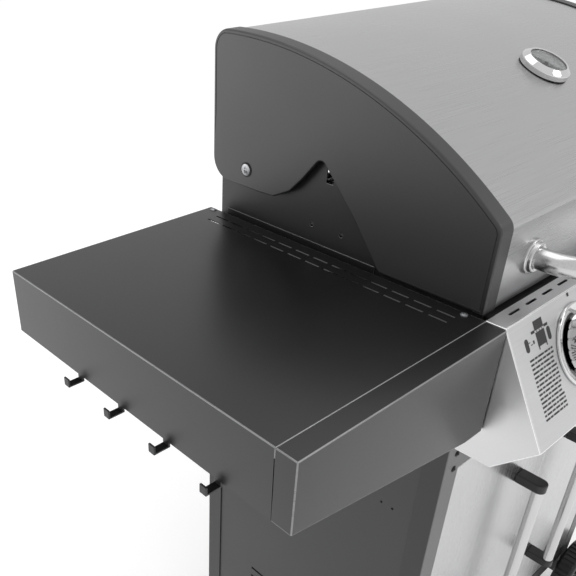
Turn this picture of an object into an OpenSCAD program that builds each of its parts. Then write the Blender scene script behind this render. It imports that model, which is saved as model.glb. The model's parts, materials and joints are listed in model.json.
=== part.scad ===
// Gas barbecue grill on a two-door cart, with a hinged lid, side shelves and three burners.
// X runs to the grill's right, Y to its back and Z up. The origin is on the floor, in the middle.
// Inside the modules, Y = 0 is the middle of the side shelves' depth.

/* [Overall] */
// Height of the side shelves' top face above the floor
top_z = 945; // [860:1:1140]
// Width of the cart across its posts
cab_w = 662; // [550:1:800]
// Distance of the cart's front face ahead of the shelves' middle line
cab_front = 205; // [190:1:240]
// Distance of the cart's back face behind the shelves' middle line
cab_back = 247; // [240:1:300]

/* [Cart frame] */
// Width of a post, along X
post_x = 31; // [24:1:40]
// Depth of a post, along Y
post_y = 32; // [24:1:40]
// Wall thickness of the posts and rails
tube_wall = 1.5; // [1:0.1:3]
// Thickness of the cart's sheet panels
sheet = 1.5; // [0.8:0.1:2.5]
// Height of the top and bottom rails
rail_h = 20; // [15:1:25]
// Depth of the header above the doors
header_h = 59; // [50:1:75]
// Drop from the shelves' top face to the cart's top
cart_drop = 180; // [170:1:240]
// Height of the cart's floor sheet
floor_z = 148; // [140:1:200]
// Height of the rails under the floor sheet
floor_rail_h = 35; // [25:1:45]

/* [Wheels and feet] */
// Diameter of a wheel
wheel_d = 150; // [125:1:150]
// Width of a wheel
wheel_w = 38; // [25:1:50]
// Diameter of the wheels' axle
axle_d = 10; // [8:0.5:14]
// Radial clearance of a turning part on its shaft
run_gap = 0.06; // [0.02:0.01:0.1]
// Diameter of a levelling foot
foot_d = 40; // [25:1:50]
// Height of a levelling foot's pad
foot_h = 12; // [8:1:20]

/* [Doors] */
// Thickness of a door
door_t = 18; // [14:1:24]
// Gap round a door
door_gap = 2.5; // [2:0.1:4]
// Distance of a hinge pin from the door's two outer faces
pin_inset = 5; // [4.6:0.1:6]
// Diameter of a door's hinge pin
pin_d = 6; // [4:0.1:6]
// Distance of a door's handle from the grill's middle
bar_x = 83; // [40:1:120]
// Diameter of a door's handle bar
bar_d = 19; // [15:0.5:22]
// Height difference between a handle's two brackets
bar_span = 286; // [200:1:340]
// Drop from the shelves' top face to the upper bracket
bar_drop = 377; // [340:1:400]
// Length of a handle bracket ahead of the door
bracket_reach = 46; // [40:1:60]
// Thickness of a handle bracket
bracket_t = 16; // [12:1:20]

/* [Control panel] */
// Reach of the control panel's ends beyond the cart's posts
panel_over = 6.6; // [4:0.1:12]
// Reach of the panel's top front edge ahead of the middle line
panel_edge = 236.8; // [225:0.1:250]
// Reach of the panel's lowest front edge ahead of the middle line
panel_nose = 311; // [290:1:330]
// Drop to the panel's lowest front edge
panel_nose_drop = 129; // [115:1:140]
// Spacing of the three knobs
knob_pitch = 203; // [170:1:215]
// Diameter of a knob
knob_d = 76; // [60:1:84]
// Diameter of a knob's bezel
bezel_d = 110; // [100:1:116]
// Travel of a knob when it is pushed in
knob_push = 4; // [2:0.5:4.5]
// Diameter of a valve's stem
stem_d = 8; // [6:0.5:10]

/* [Lid] */
// Reach of the lid ahead of the middle line
lid_front = 206; // [200:0.5:207]
// Reach of the lid behind the middle line
lid_back = 242; // [238:1:246]
// Radius of the hood's long top curve
hood_r = 639; // [600:1:700]
// Width of the end caps' rim
rim_w = 24; // [15:1:35]
// Thickness of the lid's sheet
lid_sheet = 1.5; // [1:0.1:2.5]
// Height of the hood's back edge above the shelves
hood_back_z = 130; // [126:1:150]
// Distance of the lid's hinge behind the middle line
hinge_y = 173.6; // [165:0.1:180]
// Height of the lid's hinge above the shelves
hinge_z = 71.2; // [65:0.1:80]
// Diameter of the lid's hinge screws
hinge_d = 8; // [6:0.5:10]
// Diameter of the lid's handle tube
handle_d = 25.4; // [20:0.1:30]
// Half length of the lid's handle between its flanges' centres
handle_half = 246; // [180:1:280]
// Height of the lid's handle above the shelves
handle_z = 47; // [40:1:70]
// Distance of the handle tube's middle ahead of the hood
handle_reach = 68; // [60:1:80]
// Bend radius of the handle tube
handle_bend = 42; // [30:1:50]
// Diameter of the thermometer's bezel
gauge_d = 70; // [50:1:80]

/* [Side shelves] */
// Width of a shelf, from its inner edge to its outer one
shelf_w = 329.8; // [250:0.1:420]
// Gap between the control panel's end and a shelf
shelf_gap = 0.6; // [0.4:0.1:2]
// Depth of a shelf, front to back
shelf_d = 480; // [460:1:520]
// Height of a shelf's sides
shelf_h = 85; // [60:1:100]
// Depth of a shelf's front fascia
fascia_d = 25.6; // [15:0.1:35]
// Height of the fascia at its inner end
fascia_h = 136; // [110:1:150]
// Number of vent slots in a row on a shelf
shelf_slots = 13; // [6:1:14]

/* [Firebox] */
// Gap between a lid cap and the firebox's end sheet
end_gap = 11.5; // [8:0.5:20]
// Depth of the firebox below the shelves' top face
box_depth = 176; // [150:1:178]
// Reach of the firebox ahead of the middle line
box_front = 200; // [190:1:200]
// Reach of the firebox behind the middle line
box_back = 232; // [215:1:234]
// Diameter of a burner tube
burner_d = 25; // [20:0.5:30]
// Drop from the shelves' top face to the burners' axes
burner_drop = 82; // [80:1:90]
// Thickness of a cooking grate
grate_t = 12; // [8:0.5:14]
// Spacing of a cooking grate's bars
grate_pitch = 20; // [16:0.5:30]

/* [Drip tray] */
// Depth of the drip tray
tray_h = 25; // [15:1:28]
// Gap at each side of the drip tray
tray_gap = 7; // [5:0.5:11]
// Diameter of the grease cup
cup_d = 84; // [60:1:100]
// Height of the grease cup
cup_h = 60; // [40:1:80]

/* [Hidden] */
$fn = 64;

black = [0.13, 0.13, 0.13];
steel = [0.75, 0.75, 0.76];
// Room left between curved or closely passing faces
air = 0.3;
half_w = cab_w/2;
cart_top = top_z - cart_drop;
cab_mid = (cab_back - cab_front)/2;
// Middle of a post, from the middle plane
post_mid = half_w - post_x/2;
post_bottom = foot_h + 8;
door_frame_y = -cab_front + sheet;
rail_x0 = half_w - post_x;
tray_w = 2*(rail_x0 - tray_gap);

// Wheels stand just ahead of and behind the cart, on an axle through the right posts
wheel_r = wheel_d/2;
wheel_gap = 7;
axle_r = axle_d/2;
nut_h = 6;
axle_front = -cab_front - wheel_gap - wheel_w - air - nut_h;
axle_back = cab_back + wheel_gap + wheel_w + air + nut_h;

// Doors fill the frame's opening, flush with its front face
door_out = rail_x0 - door_gap;
door_in = 1;
door_top = cart_top + 2 - header_h - door_gap;
door_bottom = max(floor_z, wheel_d) + door_gap + 0.5;
door_skin_t = 1.2;
pin_x = door_out - pin_inset;
pin_y = -cab_front + pin_inset;
bracket_w = 22;
bar_y = -cab_front - bracket_reach + bracket_w/2;
bar_mid_z = top_z - bar_drop - bar_span/2;

// The control panel's slanted face, and a place on it for the knobs
panel_half = half_w + panel_over;
slant_dy = panel_nose - panel_edge;
slant_len = sqrt(slant_dy*slant_dy + panel_nose_drop*panel_nose_drop);
slant_tilt = atan2(panel_nose_drop, slant_dy);
knob_up = slant_len/2 + 8;
knob_y = -panel_nose + knob_up*cos(slant_tilt);
knob_z = top_z - panel_nose_drop + knob_up*sin(slant_tilt);
panel_lip_y = -lid_front - 6;
panel_base_z = -182;
knob_h = 40;
knob_base = knob_push + 2;
stem_depth = 20;
stem_top = knob_base + 22;
panel_profile = [
    [panel_lip_y, 0], [-panel_edge, 0], [-panel_nose, -panel_nose_drop],
    [-259.4, -181], [panel_lip_y, panel_base_z]];
panel_inside = [
    [panel_lip_y - sheet, -12], [panel_lip_y - sheet, -sheet], [-panel_edge + 0.9, -sheet],
    [-panel_nose + 1.9, -panel_nose_drop + 0.3], [-258.8, panel_base_z + 2.7],
    [panel_lip_y - sheet, panel_base_z + sheet], [panel_lip_y - sheet, panel_base_z + 12],
    [panel_lip_y + 1, panel_base_z + 12], [panel_lip_y + 1, -12]];

// The lid's outline: a vertical front, a rounded corner, one long arc, a corner and a vertical back
hood_cy = 197.6;
hood_cz = 245.3 - hood_r;
corner_front = 18;
corner_back = 26;
front_cz = hood_cz + sqrt(pow(hood_r - corner_front, 2) - pow(-lid_front + corner_front - hood_cy, 2));
back_cz = hood_cz + sqrt(pow(hood_r - corner_back, 2) - pow(lid_back - corner_back - hood_cy, 2));
front_a = atan2(front_cz - hood_cz, -lid_front + corner_front - hood_cy);
back_a = atan2(back_cz - hood_cz, lid_back - corner_back - hood_cy);
function arc(cy, cz, r, a0, a1, n) =
    [for (i = [0:n]) let(a = a0 + (a1 - a0)*i/n) [cy + r*cos(a), cz + r*sin(a)]];
// Outline from the front's foot over the top, down to the back edge, moved inwards by inset
function hood_curve(inset, foot_z, back_z) = concat(
    [[-lid_front + inset, foot_z]],
    arc(-lid_front + corner_front, front_cz, corner_front - inset, 180, front_a, 6),
    arc(hood_cy, hood_cz, hood_r - inset, front_a, back_a, 24),
    arc(lid_back - corner_back, back_cz, corner_back - inset, back_a, 0, 6),
    [[lid_back - inset, back_z]]);
function backwards(p) = [for (i = [len(p) - 1:-1:0]) p[i]];
lid_foot = 1;
cap_out = half_w + 2;
cap_in = cap_out - lid_sheet;
hood_gap = 0.3;
// Lower edge of a cap, from the back round the hinge, up the notch's peak and down to the front
cap_lower = concat(
    arc(lid_back - 31, 77, 31, 0, -90, 6),
    [[157, 45.6], [121, 47], [92, 62], [71, 84]],
    arc(43, 97, 13, 34, 132, 5),
    [[13, 87], [-20, 53], [-52, 13], [-58, 5.6], [-64, lid_foot]]);

// Thermometer on the hood's long arc
gauge_a = 112.8;
gauge_y = hood_cy + (hood_r - lid_sheet - hood_gap)*cos(gauge_a);
gauge_z = top_z + hood_cz + (hood_r - lid_sheet - hood_gap)*sin(gauge_a);
probe_r = 3;

handle_r = handle_d/2;
handle_foot_y = -lid_front + lid_sheet + hood_gap - 0.02;
handle_y = handle_foot_y - handle_reach;
plug_h = 12;

// Side shelf and its fascia
shelf_in = panel_half + shelf_gap;
shelf_out = shelf_in + shelf_w;
shelf_half_d = shelf_d/2;
shelf_sheet = 1.2;
fascia_in = shelf_in + 2;
shelf_lip = 12;
fascia_flat = 34;
shelf_slot = [24.4, 2.4];
shelf_slot_pitch = (shelf_d - 80)/shelf_slots;

// Firebox
box_wall = 2;
plate_t = 2;
box_half = cap_in - end_gap - plate_t;
ledge_w = 14;
ledge_t = 1.5;
grate_ledge = -24;
tamer_ledge = -66;
box_inner = [
    [-box_front + box_wall, 5], [-box_front + box_wall, -119], [-149, -box_depth + box_wall],
    [179, -box_depth + box_wall], [box_back - box_wall, -119], [box_back - box_wall, 5]];
box_outer = [
    [-box_front, -6], [-box_front, -120], [-150, -box_depth],
    [180, -box_depth], [box_back, -120], [box_back, -6]];
burner_z = top_z - burner_drop;
burner_r = burner_d/2;
knob_xs = [-knob_pitch, 0, knob_pitch];
spark_dx = 24;
spark_r = 3;
valve_in = 30;
valve_y = knob_y + valve_in*sin(slant_tilt);
valve_z = knob_z - valve_in*cos(slant_tilt);
manifold_r = 9;
manifold_z = valve_z - 30;
rack_z = 70;
rack_y0 = 20;
rack_y1 = hinge_y - 33.6;
wire_r = 2.5;

// Drip tray under the firebox
tray_top = cart_top - rail_h - 5;
tray_floor = tray_top - tray_h;
tray_y0 = -cab_front + 15;
tray_y1 = cab_back - 11;

// Small screws through the front frame, each as [distance from the middle, height]
frame_screw_spots = [[half_w - 20, cart_top - 28], [half_w - 20, cart_top - 54]];
screw_r = 2.5;

// Keeps the whole grill's middle at Y = 0
front_reach = -knob_y + (knob_base + knob_h)*sin(slant_tilt) + knob_d/2*cos(slant_tilt);
mid_shift = (front_reach - axle_back)/2;

// Places what is drawn about the shelves' middle line into the grill's own frame
module placed() translate([0, mid_shift, 0]) children();

// Draws the left half's piece on side -1, and its mirror image on side 1
module on_side(side) {
    if (side < 0) children();
    else mirror([1, 0, 0]) children();
}

// Sheet of thickness t cut to a (y, z) outline, from x upwards
module plate_x(x, t) translate([x, 0, 0]) rotate([90, 0, 90]) linear_extrude(t) children();

// Sheet of thickness t cut to an (x, z) outline, from y backwards
module plate_y(y, t) translate([0, y + t, 0]) rotate([90, 0, 0]) linear_extrude(t) children();

// Box from one corner to the opposite one
module span(a, b) translate(a) cube(b - a);

// Cylinder along Y
module rod_y(x, y0, y1, z, r) translate([x, y0, z]) rotate([-90, 0, 0]) cylinder(h = y1 - y0, r = r);

// Cylinder along X
module rod_x(x0, x1, y, z, r) translate([x0, y, z]) rotate([0, 90, 0]) cylinder(h = x1 - x0, r = r);

// Puts a piece on the panel's slanted face, its own Z pointing out of it
module on_slant(x) translate([x, knob_y, knob_z]) rotate([slant_tilt, 0, 0]) children();

// Slot with round ends, along X, cut down through Z
module slot_x(x, y, length, width, z0, z1) {
    span([x - length/2 + width/2, y - width/2, z0], [x + length/2 - width/2, y + width/2, z1]);
    for (s = [-1, 1]) translate([x + s*(length - width)/2, y, z0]) cylinder(h = z1 - z0, d = width, $fn = 24);
}

// ---- Cart ----

// One square post from z0 up to the cart's top, with the header's screw holes in a front one
module post(side, y0, z0, front) {
    difference() {
        span([-half_w, y0, z0], [-half_w + post_x, y0 + post_y, cart_top]);
        span([-half_w + tube_wall, y0 + tube_wall, z0 - 1],
            [-half_w + post_x - tube_wall, y0 + post_y - tube_wall, cart_top + 1]);
        if (front) for (s = frame_screw_spots) rod_y(-s[0], y0 - 1, y0 + 4, s[1], screw_r + 0.1);
        if (side > 0) rod_y(-post_mid, y0 - 1, y0 + post_y + 1, wheel_r, axle_r + 0.02);
    }
}

module posts(side) color(black) placed() on_side(side) {
    z0 = side < 0 ? post_bottom : wheel_r - 15;
    post(side, door_frame_y, z0, true);
    post(side, cab_back - post_y, z0, false);
}

module left_posts() posts(-1);
module right_posts() posts(1);

// Steel facing round the doors: two stiles and the header
module door_frame() color(steel) placed() difference() {
    span([-half_w, -cab_front, wheel_r + 20], [half_w, door_frame_y, cart_top]);
    span([-rail_x0, -cab_front - 1, 0], [rail_x0, door_frame_y + 1, door_top + door_gap]);
    for (side = [-1, 1]) for (s = frame_screw_spots)
        rod_y(side*s[0], -cab_front - 1, door_frame_y + 1, s[1], screw_r + 0.1);
}

// Rails between the posts: three at the top, two under the floor sheet, and the drip tray's runners
module cart_rails() color(black) placed() {
    y0 = door_frame_y + post_y;
    y1 = cab_back - post_y;
    for (side = [-1, 1]) on_side(side) difference() {
        span([-half_w, y0, cart_top - rail_h], [-rail_x0, y1, cart_top]);
        span([-half_w + tube_wall, y0 - 1, cart_top - rail_h + tube_wall],
            [-rail_x0 - tube_wall, y1 + 1, cart_top - tube_wall]);
    }
    difference() {
        span([-rail_x0, y1 + 6, cart_top - rail_h], [rail_x0, y1 + 6 + rail_h, cart_top]);
        span([-rail_x0 - 1, y1 + 6 + tube_wall, cart_top - rail_h + tube_wall],
            [rail_x0 + 1, y1 + 6 + rail_h - tube_wall, cart_top - tube_wall]);
    }
    for (side = [-1, 1]) on_side(side) {
        span([-rail_x0, y0, tray_floor - air - 1.2], [-rail_x0 + 1.2, y1, cart_top - 2]);
        span([-rail_x0, y0, tray_floor - air - 1.2], [-tray_w/2 + 12, y1, tray_floor - air]);
    }
    for (y = [-cab_front + 0.5, cab_back - rail_h - 0.5]) difference() {
        span([-rail_x0, y, floor_z - sheet - floor_rail_h], [rail_x0, y + rail_h, floor_z - sheet]);
        span([-rail_x0 - 1, y + tube_wall, floor_z - sheet - floor_rail_h + tube_wall],
            [rail_x0 + 1, y + rail_h - tube_wall, floor_z - sheet - tube_wall]);
    }
}

// Side sheet between two posts, with vent slots low down and two rivet holes higher up
module side_panel(side) color([0.16, 0.16, 0.16]) placed() on_side(side) {
    vent_rows = 5;
    vent_cols = 3;
    vent_len = 60;
    vent_gap = 16;
    difference() {
        span([-half_w + 2, door_frame_y + post_y, floor_z - sheet - floor_rail_h],
            [-half_w + 2 + sheet, cab_back - post_y, cart_top - rail_h]);
        for (row = [0:vent_rows - 1]) for (col = [0:vent_cols - 1])
            translate([-half_w, cab_mid + (col - (vent_cols - 1)/2)*(vent_len + vent_gap) - vent_len/2,
                top_z - 689 - 21*row - 2.5]) cube([8, vent_len, 5]);
        for (y = [-121, -140]) rod_x(-half_w, -half_w + 8, y, top_z - 341, 2);
    }
}

module left_side_panel() side_panel(-1);
module right_side_panel() side_panel(1);

// Low back sheet; above it the back stays open for air, the hose and the drip tray
module rear_panel() color(black) placed()
    span([-rail_x0, cab_back - 4, floor_z], [rail_x0, cab_back - 4 + sheet, top_z - 525]);

// Floor sheet for the gas cylinder
module bottom_shelf() color(black) placed()
    difference() {
        span([-rail_x0, -cab_front + door_t + 4, floor_z - sheet], [rail_x0, cab_back - 5, floor_z]);
        for (x = [-180:60:180]) translate([x, cab_mid + 120, floor_z - 5]) cylinder(h = 10, r = 4);
    }

// Pads under the left posts, each on a threaded stud
module levelling_feet() color([0.1, 0.1, 0.1]) placed()
    for (y = [door_frame_y + post_y/2, cab_back - post_y/2]) translate([-post_mid, y, 0]) {
        cylinder(h = foot_h, d1 = foot_d, d2 = foot_d - 6);
        cylinder(h = post_bottom + 20, r = 5);
        translate([0, 0, foot_h]) cylinder(h = post_bottom - foot_h, r = foot_d/2 - 3);
    }

// One long shaft through the right posts, with a round nut at each end
module wheel_axle() color(steel) placed() {
    rod_y(post_mid, axle_front, axle_back, wheel_r, axle_r);
    rod_y(post_mid, axle_front, axle_front + nut_h, wheel_r, axle_r + 4);
    rod_y(post_mid, axle_back - nut_h, axle_back, wheel_r, axle_r + 4);
}

// Moulded wheel with a ribbed tread, a recessed face on both sides and a bore for the axle
module wheel(y0) {
    ribs = 40;
    rib_depth = 3;
    face_depth = 9;
    translate([post_mid, y0, wheel_r]) rotate([-90, 0, 0]) difference() {
        union() {
            rotate_extrude($fn = 96) polygon([
                [0, 0], [22, 0], [22, face_depth], [wheel_r - 22, face_depth], [wheel_r - 18, 2],
                [wheel_r - 6, 0], [wheel_r - rib_depth, 4], [wheel_r - rib_depth, wheel_w - 4],
                [wheel_r - 6, wheel_w], [wheel_r - 18, wheel_w - 2],
                [wheel_r - 22, wheel_w - face_depth], [22, wheel_w - face_depth], [22, wheel_w],
                [0, wheel_w]]);
            translate([0, 0, 12]) cylinder(h = wheel_w - 24, r = wheel_r);
            for (i = [0:ribs - 1]) rotate(i*360/ribs) translate([wheel_r - rib_depth - 3, -3, 3.5])
                cube([rib_depth + 2.6, 6, wheel_w - 7]);
        }
        translate([0, 0, -1]) cylinder(h = wheel_w + 2, r = axle_r + run_gap);
    }
}

module front_wheel() color([0.08, 0.08, 0.08]) placed() wheel(-cab_front - wheel_gap - wheel_w);
module rear_wheel() color([0.08, 0.08, 0.08]) placed() wheel(cab_back + wheel_gap);

// ---- Doors ----

// Front sheet folded back on all four sides, with the pin's bores in its top and bottom
module door_skin(side) color(steel) placed() on_side(side) difference() {
    span([-door_out, -cab_front, door_bottom], [-door_in, -cab_front + door_t, door_top]);
    span([-door_out + door_skin_t, -cab_front + door_skin_t, door_bottom + door_skin_t],
        [-door_in - door_skin_t, -cab_front + door_t + 1, door_top - door_skin_t]);
    translate([-pin_x, pin_y, door_bottom - 1])
        cylinder(h = door_top - door_bottom + 2, r = pin_d/2 + run_gap);
}

// Plain inner sheet that closes the door's back
module door_liner(side) color([0.55, 0.55, 0.56]) placed() on_side(side) {
    y1 = -cab_front + door_t - 1;
    inset = door_skin_t + 0.1;
    span([-door_out + inset, y1 - 1, door_bottom + inset], [-door_in - inset, y1, door_top - inset]);
}

// Upright grab bar held between two brackets
module door_bar(side) color([0.85, 0.85, 0.86]) placed() on_side(side)
    translate([-bar_x, bar_y, bar_mid_z - bar_span/2]) cylinder(h = bar_span, d = bar_d);

// Round-ended arms that carry the bar's ends
module door_brackets(side) color([0.09, 0.09, 0.09]) placed() on_side(side)
    for (s = [-1, 1]) difference() {
        translate([-bar_x, 0, bar_mid_z + s*bar_span/2 - bracket_t/2]) {
            span([-bracket_w/2, bar_y, 0], [bracket_w/2, -cab_front, bracket_t]);
            translate([0, bar_y, 0]) cylinder(h = bracket_t, d = bracket_w);
        }
        translate([-bar_x, bar_y, bar_mid_z - bar_span/2]) cylinder(h = bar_span, d = bar_d + 0.02);
    }

module left_door_skin() door_skin(-1);
module left_door_liner() door_liner(-1);
module left_door_bar() door_bar(-1);
module left_door_brackets() door_brackets(-1);
module right_door_skin() door_skin(1);
module right_door_liner() door_liner(1);
module right_door_bar() door_bar(1);
module right_door_brackets() door_brackets(1);

// Four short pins, fixed in tabs above and below the doors
module door_hinge_pins() color(steel) placed() for (side = [-1, 1]) on_side(side) {
    reach = 10;
    tab_x = pin_x - 8;
    translate([-pin_x, pin_y, door_top - reach]) cylinder(h = reach + door_gap, d = pin_d);
    span([-rail_x0, door_frame_y, door_top + door_gap - 0.7],
        [-tab_x, pin_y + 12, door_top + door_gap + 1.3]);
    translate([-pin_x, pin_y, door_bottom - door_gap]) cylinder(h = reach + door_gap, d = pin_d);
    span([-rail_x0, -cab_front + 0.5, floor_z - sheet], [-tab_x, pin_y + 12, door_bottom - door_gap + 0.7]);
}

// ---- Firebox ----

module firebox_tub() color(black) placed() difference() {
    union() {
        plate_x(-box_half, box_half*2) difference() {
            translate([0, top_z]) polygon(box_outer);
            translate([0, top_z]) polygon(box_inner);
        }
        // Front flange that meets the control panel's lip
        span([-box_half, panel_lip_y, top_z - 8], [box_half, -box_front + 0.5, top_z - 6]);
        // Ledges for the grates and for the flame tamers
        for (z = [grate_ledge, tamer_ledge]) {
            span([-box_half, -box_front + box_wall - 0.5, top_z + z - ledge_t],
                [box_half, -box_front + box_wall + ledge_w, top_z + z]);
            span([-box_half, box_back - box_wall - ledge_w, top_z + z - ledge_t],
                [box_half, box_back - box_wall + 0.5, top_z + z]);
        }
        // Rail under the burners' far ends
        span([-box_half, box_back - box_wall - 30, burner_z - burner_r - air - 6],
            [box_half, box_back - box_wall + 0.5, burner_z - burner_r - air]);
    }
    for (x = knob_xs) {
        rod_y(x, -box_front - 3, -box_front + 20, burner_z, burner_r + air);
        rod_y(x + spark_dx, -box_front - 3, -box_front + 5, burner_z, spark_r + 0.1);
    }
    // Opening above the drip tray
    span([-90, -60, top_z - box_depth - 5], [90, 80, top_z - box_depth + box_wall + 5]);
}

// End sheet: closes the tub, rises behind the cap's notch and carries the lid's hinge
module end_plate(side) color(black) placed() on_side(side) {
    plate_top = 124;
    rear = box_back + 4;
    difference() {
        union() {
            plate_x(-box_half - plate_t, plate_t) translate([0, top_z]) polygon([
                [-box_front, -cart_drop], [rear, -cart_drop], [rear, plate_top], [16, plate_top],
                [-104, -4], [-box_front, -4]]);
            // Tab for the warming rack
            span([-box_half, rack_y0 - 10, top_z + rack_z - wire_r - 1.6],
                [-box_half + 14, rack_y1 + 10, top_z + rack_z - wire_r - 0.1]);
        }
        rod_x(-box_half - 5, -box_half + 5, hinge_y, top_z + hinge_z, hinge_d/2 + 0.02);
        for (y = [10, 60]) rod_x(-box_half - 5, -box_half + 5, y, top_z + 23, 3.2);
        translate([-box_half - 5, 30, top_z + 84]) cube([10, 12, 22]);
    }
}

module left_end_plate() end_plate(-1);
module right_end_plate() end_plate(1);

// Two half-width grates of straight bars
module grate(x0, x1) {
    y0 = -box_front + box_wall + 1;
    y1 = box_back - box_wall - 1;
    z0 = top_z + grate_ledge + 0.02;
    bar = 7;
    count = floor((x1 - x0 - bar)/grate_pitch);
    step = (x1 - x0 - bar)/count;
    for (i = [0:count]) span([x0 + i*step, y0, z0], [x0 + i*step + bar, y1, z0 + grate_t]);
    for (y = [y0, cab_mid - 4 - 70, cab_mid - 4 + 70, y1 - 8])
        span([x0, y, z0], [x1, y + 8, z0 + grate_t - 3]);
}

module left_grate() color([0.12, 0.12, 0.12]) placed() grate(-box_half + 2, -1);
module right_grate() color([0.12, 0.12, 0.12]) placed() grate(1, box_half - 2);

// Roof-shaped covers, one over each burner
module flame_tamers() color([0.6, 0.6, 0.6]) placed() for (x = knob_xs) {
    w = 55;
    rise = 28;
    t = 1.2;
    z0 = top_z + tamer_ledge + 0.02;
    plate_y(-box_front + box_wall + 2, box_front + box_back - 2*box_wall - 4) polygon([
        [x - w, z0], [x - w + 2, z0], [x, z0 + rise - t], [x + w - 2, z0], [x + w, z0],
        [x + w, z0 + t], [x, z0 + rise + t], [x - w, z0 + t]]);
}

// Straight tubes with a row of flame holes along each side
module burners() color([0.6, 0.6, 0.6]) placed() for (x = knob_xs) {
    y0 = -box_front - 14;
    y1 = box_back - box_wall - 12;
    ports = 12;
    difference() {
        rod_y(x, y0, y1, burner_z, burner_r);
        rod_y(x, y0 - 1, y1 - 2, burner_z, burner_r - 1.2);
        for (i = [0:ports - 1]) rod_x(x - burner_d, x + burner_d, -box_front + 50 + i*30, burner_z + 4, 1.6);
    }
}

// Ceramic spark rods beside the burners
module ignition_electrodes() color("white") placed() for (x = knob_xs) {
    rod_y(x + spark_dx, -box_front - 16, -box_front + 40, burner_z, spark_r);
    rod_y(x + spark_dx, -box_front + 40, -box_front + 55, burner_z, 1);
}

// Wire rack on the end plates' tabs
module warming_rack() color([0.7, 0.7, 0.7]) placed() {
    x1 = box_half - 5;
    wires = 8;
    z = top_z + rack_z;
    for (i = [0:wires - 1])
        rod_x(-x1, x1, rack_y0 + i*(rack_y1 - rack_y0)/(wires - 1), z, wire_r);
    for (x = [-x1, -x1/3, x1/3, x1]) rod_y(x, rack_y0 - 4, rack_y1 + 4, z, wire_r);
}

// ---- Control panel and gas ----

// Folded steel sheet, closed at both ends and open at the back
module control_panel() color(steel) placed() difference() {
    plate_x(-panel_half, 2*panel_half) translate([0, top_z]) polygon(panel_profile);
    plate_x(-panel_half + sheet, 2*(panel_half - sheet)) translate([0, top_z]) polygon(panel_inside);
    for (x = knob_xs) on_slant(x) translate([0, 0, -5]) cylinder(h = 10, r = stem_d/2 + 3);
    slots = 17;
    pitch = (2*panel_half - 85)/(slots - 1);
    for (i = [0:slots - 1])
        slot_x((i - (slots - 1)/2)*pitch, -panel_edge + 14, 23, 3.4, top_z - 5, top_z + 1);
}

// Shallow dished rings round the knobs
module knob_bezels() color([0.9, 0.9, 0.9]) placed() for (x = knob_xs) on_slant(x) {
    r = bezel_d/2;
    inner = knob_d/2;
    lift = 0.05;
    translate([0, 0, lift]) rotate_extrude($fn = 96) polygon([
        [stem_d/2 + 4, 0], [r - 1, 0], [r, 1], [r - 0.6, 3.4], [r - 2, 4],
        [inner + 4, 1.8], [inner, 1.2], [stem_d/2 + 4, 1.2]]);
}

// Brass-bodied stem that the knob slides on
module valve_stem(x) color([0.7, 0.6, 0.35]) placed() on_slant(x)
    translate([0, 0, -stem_depth]) cylinder(h = stem_depth + stem_top, d = stem_d);

// Outline of a knob's skirt: flat lands with a narrow groove between each two
function skirt_outline(r, lands) = [for (i = [0:lands - 1]) for (k = [[-0.5, -1.6], [-0.38, 0], [0.38, 0]])
    let(a = (i + k[0])*360/lands) [(r + k[1])*cos(a), (r + k[1])*sin(a)]];

// Knob with a grooved skirt and a raised grip across it
module knob(x) color([0.85, 0.85, 0.85]) placed() on_slant(x) {
    r = knob_d/2;
    skirt_h = 15;
    grip_w = 16;
    grip_l = knob_d - 16;
    difference() {
        union() {
            translate([0, 0, knob_base]) linear_extrude(skirt_h) polygon(skirt_outline(r, 20));
            translate([0, 0, knob_base + skirt_h]) cylinder(h = 3, r1 = r - 3, r2 = r - 6);
            translate([-grip_w/2, -grip_l/2 + grip_w/2, knob_base + skirt_h + 1])
                cube([grip_w, grip_l - grip_w, knob_h - skirt_h - 1]);
            for (s = [-1, 1]) translate([0, s*(grip_l - grip_w)/2, knob_base + skirt_h + 1])
                cylinder(h = knob_h - skirt_h - 1, d = grip_w);
        }
        translate([0, 0, knob_base - 1])
            cylinder(h = stem_top - knob_base + knob_push + 2, r = stem_d/2 + run_gap);
    }
}

module left_valve_stem() valve_stem(knob_xs[0]);
module middle_valve_stem() valve_stem(knob_xs[1]);
module right_valve_stem() valve_stem(knob_xs[2]);
module left_knob() knob(knob_xs[0]);
module middle_knob() knob(knob_xs[1]);
module right_knob() knob(knob_xs[2]);

// Gas pipe behind the panel, with its threaded inlet at the right end
module gas_manifold() color([0.7, 0.7, 0.7]) placed() {
    end = knob_pitch + 50;
    rod_x(-end, end, valve_y, manifold_z, manifold_r);
    rod_x(end, end + 12, valve_y, manifold_z, 13);
    rod_x(end + 12, end + 32, valve_y, manifold_z, 7.5);
}

// Valve bodies: a barrel behind the panel, a foot on the manifold and a jet into the burner
module gas_valves() color([0.72, 0.6, 0.3]) placed() for (x = knob_xs) difference() {
    union() {
        on_slant(x) translate([0, 0, -valve_in - 12]) cylinder(h = valve_in + 6, r = 10);
        translate([x, valve_y, manifold_z + manifold_r])
            cylinder(h = valve_z - manifold_z - manifold_r, r = 6);
        rod_y(x, valve_y, -box_front - 18, burner_z, 7);
        rod_y(x, -box_front - 18, -box_front - 8, burner_z, 4);
    }
    on_slant(x) translate([0, 0, -stem_depth - 0.5]) cylinder(h = stem_depth, r = stem_d/2 + run_gap);
}

// ---- Side shelves ----

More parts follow.
